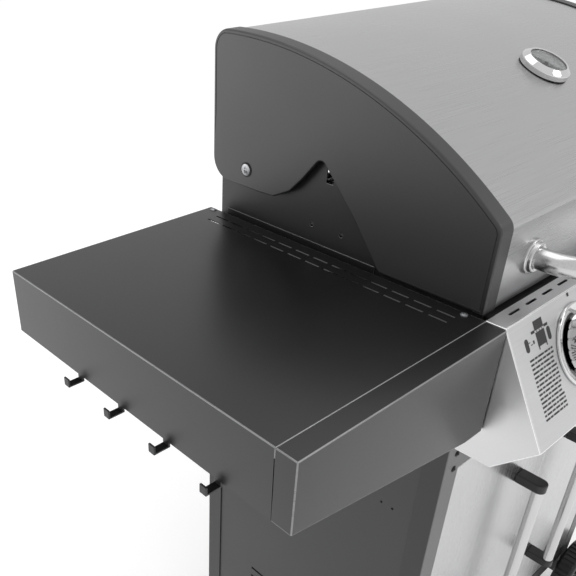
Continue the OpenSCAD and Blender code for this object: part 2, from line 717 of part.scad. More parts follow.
// Folded top sheet with turned-down sides and two rows of vent slots along its inner edge
module shelf_top(side) color([0.17, 0.17, 0.17]) placed() on_side(side) difference() {
    y0 = -shelf_half_d + fascia_d;
    span([-shelf_out, y0, top_z - shelf_h], [-shelf_in, shelf_half_d, top_z]);
    span([-shelf_out + shelf_sheet, y0 - 1, top_z - shelf_h - 1],
        [-shelf_in - shelf_sheet, shelf_half_d - shelf_sheet, top_z - shelf_sheet]);
    span([-shelf_in - 5, y0 - 1, top_z - shelf_h - 1], [-shelf_in + 1, shelf_half_d - 5, top_z - shelf_lip]);
    for (row = [0, 1]) for (i = [0:shelf_slots - 1])
        translate([-shelf_in - 19 - 16*row, 10 + (i - (shelf_slots - 1)/2)*shelf_slot_pitch, top_z - 5])
            translate([-shelf_slot[1]/2, -shelf_slot[0]/2, 0]) cube([shelf_slot[1], shelf_slot[0], 10]);
}

// Hollow front fascia, deeper at its inner end
module shelf_fascia(side) color([0.2, 0.2, 0.2]) placed() on_side(side) {
    y0 = -shelf_half_d;
    t = shelf_sheet;
    difference() {
        plate_y(y0, fascia_d - 0.4) polygon([
            [-shelf_out, top_z], [-shelf_out, top_z - shelf_h - 1],
            [-fascia_in - fascia_flat, top_z - fascia_h],
            [-fascia_in, top_z - fascia_h], [-fascia_in, top_z]]);
        plate_y(y0 + t, fascia_d) polygon([
            [-shelf_out + t, top_z - t], [-shelf_out + t, top_z - shelf_h - 1 + t],
            [-fascia_in - fascia_flat, top_z - fascia_h + t],
            [-fascia_in - t, top_z - fascia_h + t], [-fascia_in - t, top_z - t]]);
    }
}

// Mounting plate on the firebox's end sheet, with two arms under the shelf
module shelf_frame(side) color([0.15, 0.15, 0.15]) placed() on_side(side) {
    x1 = -box_half - plate_t;
    arm_t = 2;
    arm_w = 25;
    arm_h = 26;
    span([x1 - 1.5, -48, top_z - shelf_h], [x1, 222, top_z]);
    for (y = [-30, 180]) difference() {
        span([-shelf_out + 30, y, top_z - shelf_lip - arm_h], [x1 - 1, y + arm_w, top_z - shelf_lip]);
        span([-shelf_out + 29, y + arm_t, top_z - shelf_lip - arm_h - 1],
            [x1 - 4, y + arm_w - arm_t, top_z - shelf_lip - arm_t]);
    }
}

module left_shelf_top() shelf_top(-1);
module left_shelf_fascia() shelf_fascia(-1);
module left_shelf_frame() shelf_frame(-1);
module right_shelf_top() shelf_top(1);
module right_shelf_fascia() shelf_fascia(1);
module right_shelf_frame() shelf_frame(1);

// Four bent strips for tools under the left shelf's outer edge
module tool_hooks() color([0.1, 0.1, 0.1]) placed() for (y = [-136, -54, 28, 110]) {
    w = 10;
    t = 2.5;
    x0 = -shelf_out - 14;
    drop = 15;
    z0 = top_z - shelf_h - drop;
    back = -shelf_out + 8;
    plate_y(y - w/2, w) polygon([
        [x0, z0 + 11], [x0, z0], [back, z0], [back, z0 + drop + 14],
        [-shelf_out + shelf_sheet, z0 + drop + 14],
        [-shelf_out + shelf_sheet, z0 + drop - 0.2], [back - t, z0 + drop - 0.2], [back - t, z0 + t],
        [x0 + t, z0 + t], [x0 + t, z0 + 11]]);
}

// Round-headed bolts that hold each shelf to its frame
module shelf_bolts() color(steel) placed() for (side = [-1, 1]) on_side(side)
    for (y = [-190, shelf_half_d - 12])
        translate([-shelf_in - 6, y, top_z]) cylinder(h = 2.4, r1 = 4.5, r2 = 3);

// Black screws through the header's ends into the front posts
module frame_screws() color([0.05, 0.05, 0.05]) placed() for (side = [-1, 1]) on_side(side)
    for (s = frame_screw_spots) {
        rod_y(-s[0], -cab_front - 2.4, -cab_front, s[1], 4.5);
        rod_y(-s[0], -cab_front, -cab_front + 9, s[1], screw_r);
    }

// ---- Lid ----

// Curved sheet between the caps, with a turned-in front edge
module lid_hood() color(steel) placed() {
    d0 = lid_sheet + hood_gap;
    difference() {
        union() {
            plate_x(-cap_in, 2*cap_in) translate([0, top_z]) polygon(concat(
                hood_curve(d0, lid_foot, hood_back_z),
                backwards(hood_curve(d0 + lid_sheet, lid_foot, hood_back_z))));
            span([-cap_in + 1, -lid_front + d0 + 0.5, top_z + lid_foot],
                [cap_in - 1, -lid_front + d0 + 14, top_z + lid_foot + 1.2]);
        }
        translate([0, gauge_y, gauge_z]) rotate([gauge_a - 90, 0, 0])
            translate([0, 0, -20]) cylinder(h = 40, r = probe_r + 0.5);
    }
}

// Pan-shaped end: a notched outer skin with a rim that laps over the hood
module lid_cap(side) color([0.2, 0.2, 0.2]) placed() on_side(side) {
    difference() {
        union() {
            plate_x(-cap_out, lid_sheet) translate([0, top_z]) polygon(
                concat(hood_curve(0, lid_foot, 85), cap_lower));
            plate_x(-cap_out, rim_w) translate([0, top_z]) polygon(concat(
                hood_curve(0, lid_foot, hood_back_z),
                backwards(hood_curve(lid_sheet, lid_foot, hood_back_z))));
        }
        rod_x(-cap_out - 1, -cap_out + 5, hinge_y, top_z + hinge_z, hinge_d/2 + run_gap);
    }
}

module left_lid_cap() lid_cap(-1);
module right_lid_cap() lid_cap(1);

// Pan-headed pivots through the caps into the end sheets, each with a spacer and a nut
module lid_hinge_screws() color([0.85, 0.85, 0.85]) placed() for (side = [-1, 1]) on_side(side) {
    y = hinge_y;
    z = top_z + hinge_z;
    x1 = -box_half - plate_t;
    rod_x(-cap_out - 3.1, -cap_out - 0.1, y, z, 10);
    rod_x(-cap_out - 3.1, -box_half + 8, y, z, hinge_d/2);
    rod_x(-cap_in + 0.1, x1, y, z, hinge_d/2 + 3);
    rod_x(-box_half, -box_half + 5, y, z, hinge_d/2 + 3);
}

// Bent tube whose two feet stand on the hood's front
module lid_handle() color([0.85, 0.85, 0.86]) placed() for (side = [-1, 1]) on_side(side) {
    z = top_z + handle_z;
    bend_y = handle_y + handle_bend;
    difference() {
        rod_y(-handle_half, bend_y, handle_foot_y - plug_h, z, handle_r);
        rod_y(-handle_half, bend_y - 1, handle_foot_y - plug_h + 1, z, handle_r - 1.5);
    }
    rod_y(-handle_half, handle_foot_y - plug_h, handle_foot_y, z, handle_r);
    translate([-handle_half + handle_bend, bend_y, z]) rotate([0, 0, 180])
        rotate_extrude(angle = 90) translate([handle_bend, 0]) difference() {
            circle(r = handle_r);
            circle(r = handle_r - 1.5);
        }
    difference() {
        rod_x(-handle_half + handle_bend, 0, handle_y, z, handle_r);
        rod_x(-handle_half + handle_bend - 1, 1, handle_y, z, handle_r - 1.5);
    }
}

// Stepped rings at the handle's feet
module handle_flanges() color([0.85, 0.85, 0.86]) placed() for (side = [-1, 1]) on_side(side)
    translate([-handle_half, handle_foot_y, top_z + handle_z]) rotate([90, 0, 0]) difference() {
        union() {
            cylinder(h = 4, r = handle_r + 8.5);
            cylinder(h = 9, r = handle_r + 5);
        }
        translate([0, 0, -1]) cylinder(h = 12, r = handle_r + 0.05);
    }

// Puts a piece on the hood's top curve, its own Z pointing out of it
module on_gauge() translate([0, gauge_y, gauge_z]) rotate([gauge_a - 90, 0, 0]) children();

module thermometer_bezel() color([0.9, 0.9, 0.9]) placed() on_gauge() {
    r = gauge_d/2;
    rotate_extrude($fn = 96) polygon([
        [0, 0.05], [r - 3, 0.05], [r, 2], [r, 8], [r - 8, 13], [r - 9, 12.5], [r - 9, 6], [0, 6]]);
    translate([0, 0, -55]) cylinder(h = 56, r = probe_r);
}

module thermometer_dial() color([0.7, 0.7, 0.7]) placed() on_gauge()
    translate([0, 0, 6]) cylinder(h = 1, r = gauge_d/2 - 9.2);

module thermometer_glass() color([0.8, 0.85, 0.88]) placed() on_gauge()
    translate([0, 0, 9.5]) cylinder(h = 1.8, r = gauge_d/2 - 9.05);

// ---- Drip tray ----

// Pan that slides out at the back on two runners, with a hole for the grease cup
module drip_tray() color([0.6, 0.6, 0.6]) placed() {
    t = 1;
    hw = tray_w/2;
    difference() {
        span([-hw, tray_y0, tray_floor], [hw, tray_y1, tray_top]);
        span([-hw + t, tray_y0 + t, tray_floor + t], [hw - t, tray_y1 - t, tray_top + 1]);
        translate([0, cab_mid, tray_floor - 1]) cylinder(h = 5, r = cup_d/2 + air);
    }
}

// Tin cup that hangs by its rim in the tray's hole
module grease_cup() color([0.7, 0.7, 0.7]) placed() {
    t = 1;
    translate([0, cab_mid, tray_floor - cup_h]) difference() {
        union() {
            cylinder(h = cup_h + 2*t, r = cup_d/2);
            translate([0, 0, cup_h + t]) cylinder(h = t, r = cup_d/2 + 5);
        }
        translate([0, 0, t]) cylinder(h = cup_h + 5, r = cup_d/2 - t);
    }
}

left_posts();
right_posts();
door_frame();
cart_rails();
left_side_panel();
right_side_panel();
rear_panel();
bottom_shelf();
levelling_feet();
wheel_axle();
front_wheel();
rear_wheel();
left_door_skin();
left_door_liner();
left_door_bar();
left_door_brackets();
right_door_skin();
right_door_liner();
right_door_bar();
right_door_brackets();
door_hinge_pins();
firebox_tub();
left_end_plate();
right_end_plate();
control_panel();
knob_bezels();
left_valve_stem();
middle_valve_stem();
right_valve_stem();
left_knob();
middle_knob();
right_knob();
gas_manifold();
gas_valves();
burners();
ignition_electrodes();
flame_tamers();
left_grate();
right_grate();
warming_rack();
left_shelf_top();
left_shelf_fascia();
left_shelf_frame();
right_shelf_top();
right_shelf_fascia();
right_shelf_frame();
tool_hooks();
shelf_bolts();
frame_screws();
lid_hood();
left_lid_cap();
right_lid_cap();
lid_hinge_screws();
lid_handle();
handle_flanges();
thermometer_bezel();
thermometer_dial();
thermometer_glass();
drip_tray();
grease_cup();
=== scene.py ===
# %% [markdown]
# # The looks of a gas barbecue grill
# The grill's frame comes from CAD: every part is already there, at its real size and in its
# real place. This file gives those parts their finishes, and makes finer pieces for the parts
# whose rounded folds, domes and treads show. A finer piece rides on the same moving body as
# the part that it stands for, so the lid, the doors and the knobs still work.

# %% Load the frame
import json
from math import atan2, cos, degrees, pi, radians, sin, sqrt

import bmesh
import bpy
from mathutils import Matrix, Vector


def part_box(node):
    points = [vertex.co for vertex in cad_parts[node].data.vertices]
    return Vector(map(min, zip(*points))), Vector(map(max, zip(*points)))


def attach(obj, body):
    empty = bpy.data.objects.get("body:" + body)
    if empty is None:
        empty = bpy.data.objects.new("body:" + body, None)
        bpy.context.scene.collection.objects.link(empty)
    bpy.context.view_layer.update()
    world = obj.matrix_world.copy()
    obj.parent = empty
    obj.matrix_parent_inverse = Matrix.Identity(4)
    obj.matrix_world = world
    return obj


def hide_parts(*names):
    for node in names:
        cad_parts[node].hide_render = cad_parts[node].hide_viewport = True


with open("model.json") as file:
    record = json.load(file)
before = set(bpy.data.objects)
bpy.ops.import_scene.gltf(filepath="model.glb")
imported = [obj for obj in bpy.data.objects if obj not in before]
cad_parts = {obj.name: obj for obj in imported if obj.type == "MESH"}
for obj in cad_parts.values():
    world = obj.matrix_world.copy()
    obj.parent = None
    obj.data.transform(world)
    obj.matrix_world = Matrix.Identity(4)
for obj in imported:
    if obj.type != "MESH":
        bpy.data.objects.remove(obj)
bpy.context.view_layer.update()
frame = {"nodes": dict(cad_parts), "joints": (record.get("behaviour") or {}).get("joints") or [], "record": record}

joints = {joint["name"]: joint for joint in frame["joints"]}
slot_of = {part["node"]: part["material_slot"] for part in frame["record"]["subparts"]}
bodies = frame["record"]["behaviour"]["bodies"]
body_of = {node: body for body, nodes in bodies.items() for node in nodes}

# %% [markdown]
# ## The camera
# A grill is mostly sold by its corner: a high three-quarter view shows the shelf, the end of
# the lid and the control panel at once. The camera is aimed by its three axes and not by a
# target point, because the view is cut off-centre, and that is what a lens shift is for.

# %% Camera
camera_right = Vector((0.7551, -0.6556, 0.0001)).normalized()
camera_up = Vector((0.3583, 0.4128, 0.8374)).normalized()
camera_back = camera_right.cross(camera_up)
camera_place = Vector((-1.0328, -0.5240, 1.3450))
camera = bpy.data.objects.new("camera", bpy.data.cameras.new("camera"))
axes = Matrix((camera_right, camera_up, camera_back)).transposed().to_4x4()
camera.matrix_world = Matrix.Translation(camera_place) @ axes
camera.data.sensor_width = 36.0
camera.data.lens = 46.02
camera.data.shift_x = 0.1493
camera.data.shift_y = 0.1342
camera.data.clip_end = 50
bpy.context.scene.collection.objects.link(camera)
bpy.context.scene.camera = camera
print("camera", [round(value, 3) for value in camera.location])

# %% [markdown]
# ## Sizes that many pieces share
# Most places are read from the CAD parts' boxes. The lid's outline is the exception: a box
# cannot say how a curve runs, so its radii are repeated here, in millimetres.

# %% Shared sizes
MM = 0.001
shelf_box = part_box("left_shelf_top")
fascia_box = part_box("left_shelf_fascia")
top_z = shelf_box[1].z
mid_y = (fascia_box[0].y + shelf_box[1].y) / 2
SHEET = 1.5 * MM


def at(x, y, z):
    """A point given in millimetres from the middle of the shelves' top plane."""
    return Vector((x * MM, mid_y + y * MM, top_z + z * MM))


print("shelf top", round(top_z, 4), "middle line", round(mid_y, 4))

# %% [markdown]
# ## Helpers for nodes and meshes
# Shader trees and geometry trees are built the same way, so one function adds a node to
# either. Meshes start from points and faces. Their places are kept in the mesh and not in
# the object, so each object stays at the origin, as the CAD parts do.

# %% Nodes and colours


def add(tree, kind, settings=None, inputs=None):
    """Adds a node with its own settings, and gives its inputs a value or a link each."""
    made = tree.nodes.new(kind)
    for name, value in (settings or {}).items():
        setattr(made, name, value)
    for name, value in (inputs or {}).items():
        if isinstance(value, bpy.types.NodeSocket):
            tree.links.new(value, made.inputs[name])
        else:
            made.inputs[name].default_value = value
    return made


def linear(code):
    """The linear colour of an sRGB hex code such as "8C8C8A"."""
    parts = [int(code[i:i + 2], 16) / 255 for i in (0, 2, 4)]
    return [p / 12.92 if p <= 0.04045 else ((p + 0.055) / 1.055) ** 2.4 for p in parts] + [1.0]


print("#808080 is", round(linear("808080")[0], 3), "in linear light")

# %% Meshes from points, boxes and other meshes


def mesh_object(name, points, faces, edges=()):
    """An object at the origin, with its place in its mesh."""
    mesh = bpy.data.meshes.new(name)
    mesh.from_pydata([tuple(p) for p in points], list(edges), list(faces))
    made = bpy.data.objects.new(name, mesh)
    bpy.context.scene.collection.objects.link(made)
    return made


def settled(made):
    """Turns what the modifiers make of an object into its plain mesh."""
    graph = bpy.context.evaluated_depsgraph_get()
    mesh = bpy.data.meshes.new_from_object(made.evaluated_get(graph))
    made.modifiers.clear()
    made.data = mesh
    return made


def reworked(made, steps):
    """Opens an object's mesh for bmesh, does the steps on it and writes it back."""
    work = bmesh.new()
    work.from_mesh(made.data)
    steps(work)
    work.to_mesh(made.data)
    work.free()
    return made


def outwards(made):
    """Merges doubled points and turns all faces outwards."""
    def steps(work):
        bmesh.ops.remove_doubles(work, verts=work.verts, dist=0.01 * MM)
        bmesh.ops.recalc_face_normals(work, faces=work.faces)
    return reworked(made, steps)


def opened_behind(made, least_area=0.0):
    """Takes away the faces that look straight back, so that a box becomes a pan."""
    def steps(work):
        back = [face for face in work.faces if face.normal.y > 0.9 and face.calc_area() > least_area]
        bmesh.ops.delete(work, geom=back, context="FACES")
    return reworked(made, steps)


print("meshes can be made, settled and opened")

# %% Moving, mirroring and joining


def moved(made, matrix):
    """Moves the mesh itself, so that the object stays at the origin."""
    made.data.transform(matrix)
    if matrix.determinant() < 0:
        made.data.flip_normals()
    return made


def mirrored(made, side):
    """The left piece itself for side -1, and its mirror image for side 1."""
    return moved(made, Matrix.Scale(-1, 4, Vector((1, 0, 0)))) if side > 0 else made


def joined(name, parts):
    """One mesh out of several objects' meshes."""
    work = bmesh.new()
    for part in parts:
        work.from_mesh(part.data)
        bpy.data.objects.remove(part)
    made = mesh_object(name, [], [])
    work.to_mesh(made.data)
    work.free()
    return made


print("meshes can be moved, mirrored and joined")

# %% [markdown]
# ## Folds, walls and cut-outs
# Sheet metal is drawn as an open surface first. A Bevel rounds its folds, and only then a
# Solidify gives it its wall, so the wall follows the folds. A fold can carry a second finish,
# which paints a highlight onto it: a paler colour that stands in for the light that a rounded
# fold catches. Weighted normals keep each flat face flat to the eye, right up to its
# rounded edges.

# %% Finishing helpers


def softened(made, width, segments=3, angle=35, folds=False):
    """Rounds the sharp edges; folds=True leaves the rounded strips to a second material."""
    bevel = made.modifiers.new("edge", "BEVEL")
    if folds:
        made.data.materials.append(None)
        made.data.materials.append(None)
        bevel.material = 1
    bevel.width = width
    bevel.segments = segments
    bevel.limit_method = "ANGLE"
    bevel.angle_limit = radians(angle)
    return settled(made)


def thickened(made, thickness):
    """Gives a surface a wall, inwards from the faces that show."""
    wall = made.modifiers.new("wall", "SOLIDIFY")
    wall.thickness = thickness
    wall.offset = -1
    wall.use_even_offset = True
    return settled(made)


def cut(made, cutter):
    """Takes the cutter's shape out of a piece, and removes the cutter."""
    cutter.data.materials.clear()
    tool = made.modifiers.new("cut", "BOOLEAN")
    tool.operation = "DIFFERENCE"
    tool.solver = "EXACT"
    tool.object = cutter
    settled(made)
    bpy.data.objects.remove(cutter)
    return made


def piece(made, material, *nodes, body=None, sharp=32, folds=None):
    """Gives a finished piece its materials and its body, and hides the CAD nodes that it stands for."""
    # Slots are changed one by one: clear() would also reset which face has which slot.
    slots = made.data.materials
    finishes = [material, folds] if folds else [material]
    while len(slots) > len(finishes):
        slots.pop()
    while len(slots) < len(finishes):
        slots.append(None)
    for i, finish in enumerate(finishes):
        slots[i] = finish
    made.data.shade_smooth()
    made.data.set_sharp_from_angle(angle=radians(sharp))
    flats = made.modifiers.new("flats stay flat", "WEIGHTED_NORMAL")
    flats.keep_sharp = True
    settled(made)
    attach(made, body or body_of[nodes[0]])
    if nodes:
        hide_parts(*nodes)
    print(made.name, len(made.data.polygons), "faces")
    return made

# %% [markdown]
# ## Turned shapes and boxes
# Bezels, wheels, screw heads and flanges are turned on a lathe, so each is an outline of
# radius and height carried round an axis. Folded boxes start as an open shell.

# %% Lathe and box


def lathe(name, outline, steps=96):
    """Carries an outline of (radius, height) in millimetres round the Z axis."""
    points = []
    faces = []
    for radius, height in outline:
        for i in range(steps):
            a = 2 * pi * i / steps
            points.append((radius * MM * cos(a), radius * MM * sin(a), height * MM))
    for ring in range(len(outline) - 1):
        for i in range(steps):
            j = (i + 1) % steps
            low = ring * steps
            faces.append((low + i, low + j, low + steps + j, low + steps + i))
    return outwards(mesh_object(name, points, faces))


def block(name, low, high):
    """A closed box from its lowest to its highest corner."""
    ends = list(zip(low, high))
    corners = [(x, y, z) for z in ends[2] for y in ends[1] for x in ends[0]]
    faces = [(0, 2, 3, 1), (4, 5, 7, 6), (0, 1, 5, 4), (2, 6, 7, 3), (0, 4, 6, 2), (1, 3, 7, 5)]
    return mesh_object(name, corners, faces)


def block_mm(name, low, high):
    """The same, with its corners given in millimetres."""
    return block(name, [value * MM for value in low], [value * MM for value in high])


def prism(name, outline, low, high, axis):
    """A closed solid from an outline, carried along an axis from low to high."""
    place = {
        "X": lambda p, d: (d, p[0], p[1]),
        "Y": lambda p, d: (p[0], d, p[1]),
        "Z": lambda p, d: (p[0], p[1], d)}[axis]
    count = len(outline)
    points = [place(p, low) for p in outline] + [place(p, high) for p in outline]
    faces = [tuple(range(count)), tuple(range(2 * count - 1, count - 1, -1))]
    faces += [(i, (i + 1) % count, count + (i + 1) % count, count + i) for i in range(count)]
    return outwards(mesh_object(name, points, faces))


print("lathe, block and prism are ready")

# %% Arcs and folded corners


def arc(centre, radius, start, end, steps):
    """Points of a circular arc, with its angles in degrees."""
    angles = [radians(start + (end - start) * i / steps) for i in range(steps + 1)]
    return [(centre[0] + radius * cos(a), centre[1] + radius * sin(a)) for a in angles]


def filleted(outline, radius, steps=5, closed=True):
    """The outline with each corner replaced by an arc, as a fold in sheet metal."""
    made = []
    count = len(outline)
    for i, corner in enumerate(outline):
        if not closed and i in (0, count - 1):
            made.append(tuple(corner))
            continue
        here = Vector(corner)
        before = (Vector(outline[i - 1]) - here).normalized()
        after = (Vector(outline[(i + 1) % count]) - here).normalized()
        half = before.angle(after) / 2
        reach = radius / max(0.05, sin(half)) * cos(half)
        middle = here + (before + after).normalized() * radius / sin(half)
        first = here + before * reach - middle
        last = here + after * reach - middle
        turn = atan2(first.x * last.y - first.y * last.x, first.dot(last))
        for k in range(steps + 1):
            a = turn * k / steps
            made.append((middle.x + first.x * cos(a) - first.y * sin(a),
                         middle.y + first.x * sin(a) + first.y * cos(a)))
    return made


print("a right angle filleted:", len(filleted([(0, 1), (0, 0), (1, 0)], 0.2, closed=False)), "points")

# %% [markdown]
# ## Geometry Nodes for what repeats
# Vent slots, tread ribs, dial ticks and cooling bars are one shape many times. A tree of
# nodes says the rule once, and its inputs hold the count and the step. Each result is turned
# into a plain mesh, because instances do not survive an export.

# %% Trees of geometry nodes


def new_tree(name, sockets):
    """An empty geometry tree with a mesh in, a mesh out and named inputs."""
    tree = bpy.data.node_groups.new(name, "GeometryNodeTree")
    tree.interface.new_socket("Geometry", in_out="INPUT", socket_type="NodeSocketGeometry")
    for socket, kind in sockets:
        tree.interface.new_socket(socket, in_out="INPUT", socket_type="NodeSocket" + kind)
    tree.interface.new_socket("Geometry", in_out="OUTPUT", socket_type="NodeSocketGeometry")
    return tree, add(tree, "NodeGroupInput"), add(tree, "NodeGroupOutput")


def close_tree(tree, given, output, geometry):
    """Ends a tree: instances become mesh, and the mesh gets its material."""
    real = add(tree, "GeometryNodeRealizeInstances", {}, {"Geometry": geometry})
    painted = add(tree, "GeometryNodeSetMaterial", {}, {
        "Geometry": real.outputs["Geometry"], "Material": given.outputs["Material"]})
    tree.links.new(painted.outputs["Geometry"], output.inputs["Geometry"])
    return tree


def row_tree():
    """Copies a shape along a straight row."""
    tree, given, output = new_tree("row", [
        ("Count", "Int"), ("Step", "Vector"), ("Material", "Material")])
    line = add(tree, "GeometryNodeMeshLine", {"mode": "OFFSET"}, {
        "Count": given.outputs["Count"], "Offset": given.outputs["Step"]})
    copies = add(tree, "GeometryNodeInstanceOnPoints", {}, {
        "Points": line.outputs["Mesh"], "Instance": given.outputs["Geometry"]})
    return close_tree(tree, given, output, copies.outputs["Instances"])


def ring_tree():
    """Copies a shape round the Z axis, turning each copy with its place."""
    tree, given, output = new_tree("ring", [
        ("Count", "Int"), ("Turn", "Float"), ("Material", "Material")])
    line = add(tree, "GeometryNodeMeshLine", {"mode": "OFFSET"}, {
        "Count": given.outputs["Count"], "Offset": (0, 0, 0)})
    number = add(tree, "GeometryNodeInputIndex")
    share = add(tree, "ShaderNodeMath", {"operation": "DIVIDE"}, {
        0: number.outputs["Index"], 1: given.outputs["Count"]})
    angle = add(tree, "ShaderNodeMath", {"operation": "MULTIPLY"}, {
        0: share.outputs["Value"], 1: given.outputs["Turn"]})
    turn = add(tree, "ShaderNodeCombineXYZ", {}, {"Z": angle.outputs["Value"]})
    copies = add(tree, "GeometryNodeInstanceOnPoints", {}, {
        "Points": line.outputs["Mesh"], "Instance": given.outputs["Geometry"],
        "Rotation": turn.outputs["Vector"]})
    return close_tree(tree, given, output, copies.outputs["Instances"])


print("copies: row and ring")

# %% Trees for tubes and rolled sheet


def tube_tree():
    """Carries a circle along a path of edges."""
    tree, given, output = new_tree("tube", [
        ("Radius", "Float"), ("Sides", "Int"), ("Material", "Material")])
    path = add(tree, "GeometryNodeMeshToCurve", {}, {"Mesh": given.outputs["Geometry"]})
    circle = add(tree, "GeometryNodeCurvePrimitiveCircle", {}, {
        "Radius": given.outputs["Radius"], "Resolution": given.outputs["Sides"]})
    tube = add(tree, "GeometryNodeCurveToMesh", {}, {
        "Curve": path.outputs["Curve"], "Profile Curve": circle.outputs["Curve"], "Fill Caps": True})
    return close_tree(tree, given, output, tube.outputs["Mesh"])


def strip_tree():
    """Carries an outline of edges straight along X, as a sheet comes out of rolls."""
    tree, given, output = new_tree("strip", [("Width", "Float"), ("Material", "Material")])
    along = add(tree, "ShaderNodeCombineXYZ", {}, {"X": given.outputs["Width"]})
    sheet = add(tree, "GeometryNodeExtrudeMesh", {"mode": "EDGES"}, {
        "Mesh": given.outputs["Geometry"], "Offset": along.outputs["Vector"], "Offset Scale": 1.0})
    return close_tree(tree, given, output, sheet.outputs["Mesh"])


TREES = {"row": row_tree(), "ring": ring_tree(), "tube": tube_tree(), "strip": strip_tree()}


def grown(made, tree, **inputs):
    """Puts a tree on an object, sets its inputs and keeps the plain mesh that comes out."""
    modifier = made.modifiers.new(tree, "NODES")
    modifier.node_group = TREES[tree]
    for socket in TREES[tree].interface.items_tree:
        if socket.item_type == "SOCKET" and socket.in_out == "INPUT" and socket.name in inputs:
            modifier[socket.identifier] = inputs[socket.name]
    return settled(made)


print("geometry trees:", ", ".join(TREES))

# %% [markdown]
# ## Finishes
# Most of the grill is sheet metal with one of three finishes. Stainless sheet keeps the fine
# parallel lines of the belt that brushed it, so its noise is stretched along those lines, and
# its highlights spread across them. Powder coat is melted paint: even, a little uneven in
# height, like the skin of an orange. Chrome and polished tube are almost mirrors. Lines and
# grains that are finer than a picture can show are drawn a few times coarser.

# %% Material helpers


def object_pattern(tree, size_mm, detail=3.0, rough=0.5):
    """Noise on the piece's own coordinates, with grains of one size or of a size for X, Y and Z."""
    sizes = size_mm if isinstance(size_mm, list) else [size_mm] * 3
    place = add(tree, "ShaderNodeTexCoord")
    scale = add(tree, "ShaderNodeMapping", {}, {
        "Vector": place.outputs["Object"], "Scale": [1 / (size * MM) for size in sizes]})
    return add(tree, "ShaderNodeTexNoise", {}, {
        "Vector": scale.outputs["Vector"], "Scale": 1.0, "Detail": detail, "Roughness": rough})


def spread(tree, value, low, high, start=0.3, end=0.7):
    """Carries a noise value into a range."""
    made = add(tree, "ShaderNodeMapRange", {}, {
        "Value": value, "From Min": start, "From Max": end, "To Min": low, "To Max": high})
    return made.outputs["Result"]


def surface(name, code, metallic, roughness, grain, bump_mm=0.0, tint=0.06, uneven=0.04, blotch=0.03,
            anisotropic=0.0, coat=0.0, **fixed):
    """A finish: its colour and roughness wander with a grain, and large soft blotches shift its roughness."""
    material = bpy.data.materials.new(name)
    material.use_nodes = True
    tree = material.node_tree
    shader = tree.nodes["Principled BSDF"]
    shader.inputs["Metallic"].default_value = metallic
    shader.inputs["Anisotropic"].default_value = anisotropic
    shader.inputs["Coat Weight"].default_value = coat
    for socket, value in fixed.items():
        shader.inputs[socket.replace("_", " ")].default_value = value
    fine = object_pattern(tree, grain)
    wide = object_pattern(tree, [190, 150, 170], detail=2.0)
    colour = linear(code)
    dark = [channel * (1 - tint) for channel in colour[:3]] + [1.0]
    pale = [min(1.0, channel * (1 + tint)) for channel in colour[:3]] + [1.0]
    mixed = add(tree, "ShaderNodeMix", {"data_type": "RGBA"}, {
        0: spread(tree, fine.outputs["Fac"], 0.0, 1.0), 6: dark, 7: pale})
    tree.links.new(mixed.outputs[2], shader.inputs["Base Color"])
    gloss = add(tree, "ShaderNodeMath", {"operation": "ADD"}, {
        0: spread(tree, fine.outputs["Fac"], roughness - uneven, roughness + uneven),
        1: spread(tree, wide.outputs["Fac"], -blotch, blotch)})
    tree.links.new(gloss.outputs["Value"], shader.inputs["Roughness"])
    if bump_mm:
        bump = add(tree, "ShaderNodeBump", {}, {
            "Strength": 1.0, "Distance": bump_mm * MM, "Height": fine.outputs["Fac"]})
        tree.links.new(bump.outputs["Normal"], shader.inputs["Normal"])
    return material


def tangent_along(material, axis):
    """Spreads the highlights of a brushed sheet across its lines, which run along the axis."""
    tree = material.node_tree
    tangent = add(tree, "ShaderNodeTangent", {"direction_type": "RADIAL", "axis": axis})
    tree.links.new(tangent.outputs["Tangent"], tree.nodes["Principled BSDF"].inputs["Tangent"])
    return material


print("surface() makes a finish")

# %% Steels, chrome and other bare metals
# Belt-brushed stainless sheet: real lines are 0.1 to 0.3 mm wide, drawn 0.9 mm wide and 90 mm
# long. They blur what the sheet mirrors, across the lines only.
brushed_across = tangent_along(surface(
    "stainless_brushed_across", "B6B6B7", 1.0, 0.30, [90, 0.9, 0.9], bump_mm=0.006, tint=0.05,
    uneven=0.04, anisotropic=0.55), "X")
brushed_up = tangent_along(surface(
    "stainless_brushed_upright", "C2C2C3", 1.0, 0.27, [0.9, 0.9, 110], bump_mm=0.005, tint=0.04,
    uneven=0.03, anisotropic=0.45), "Z")
# The panel's sheet is brushed finer and looks almost satin.
brushed_panel = tangent_along(surface(
    "stainless_satin_panel", "CDCDCE", 1.0, 0.40, [70, 0.8, 0.8], bump_mm=0.005, tint=0.04,
    uneven=0.03, anisotropic=0.4), "X")
# Folds on the panel: a lower roughness makes them glossier, and a paler colour than the sheet paints a highlight
# on them.
steel_fold_painted_highlight = surface("stainless_painted_fold_highlight", "EDEDED", 1.0, 0.24, [50, 1.2, 1.2], tint=0.03, uneven=0.03)
# Mechanically polished tube: nearly a mirror, with faint lines along it.
polished_tube = surface("stainless_polished_tube", "C9C9C9", 1.0, 0.23, [60, 2.5, 2.5],
                        tint=0.04, uneven=0.04, blotch=0.02)
polished_upright = surface("stainless_polished_upright", "C8C8C8", 1.0, 0.22, [1.5, 1.5, 60],
                           bump_mm=0.003, tint=0.03, uneven=0.03, blotch=0.01)
# Nickel and chromium on a zinc casting: a bright mirror, softened by handling marks.
chrome_plate = surface("chrome_plated_zinc", "DADADA", 1.0, 0.06, 14, tint=0.02,
                       uneven=0.02, blotch=0.01)
# Zinc-plated steel, slightly clouded.
zinc_plate = surface("zinc_plated_steel", "A9AAAC", 1.0, 0.38, 9, bump_mm=0.01, tint=0.10,
                     uneven=0.08)
# Galvanised tray sheet: pale spangles some 8 mm across.
galvanised = surface("galvanised_sheet", "9EA1A4", 1.0, 0.42, 8, bump_mm=0.004, tint=0.16,
                     uneven=0.10)
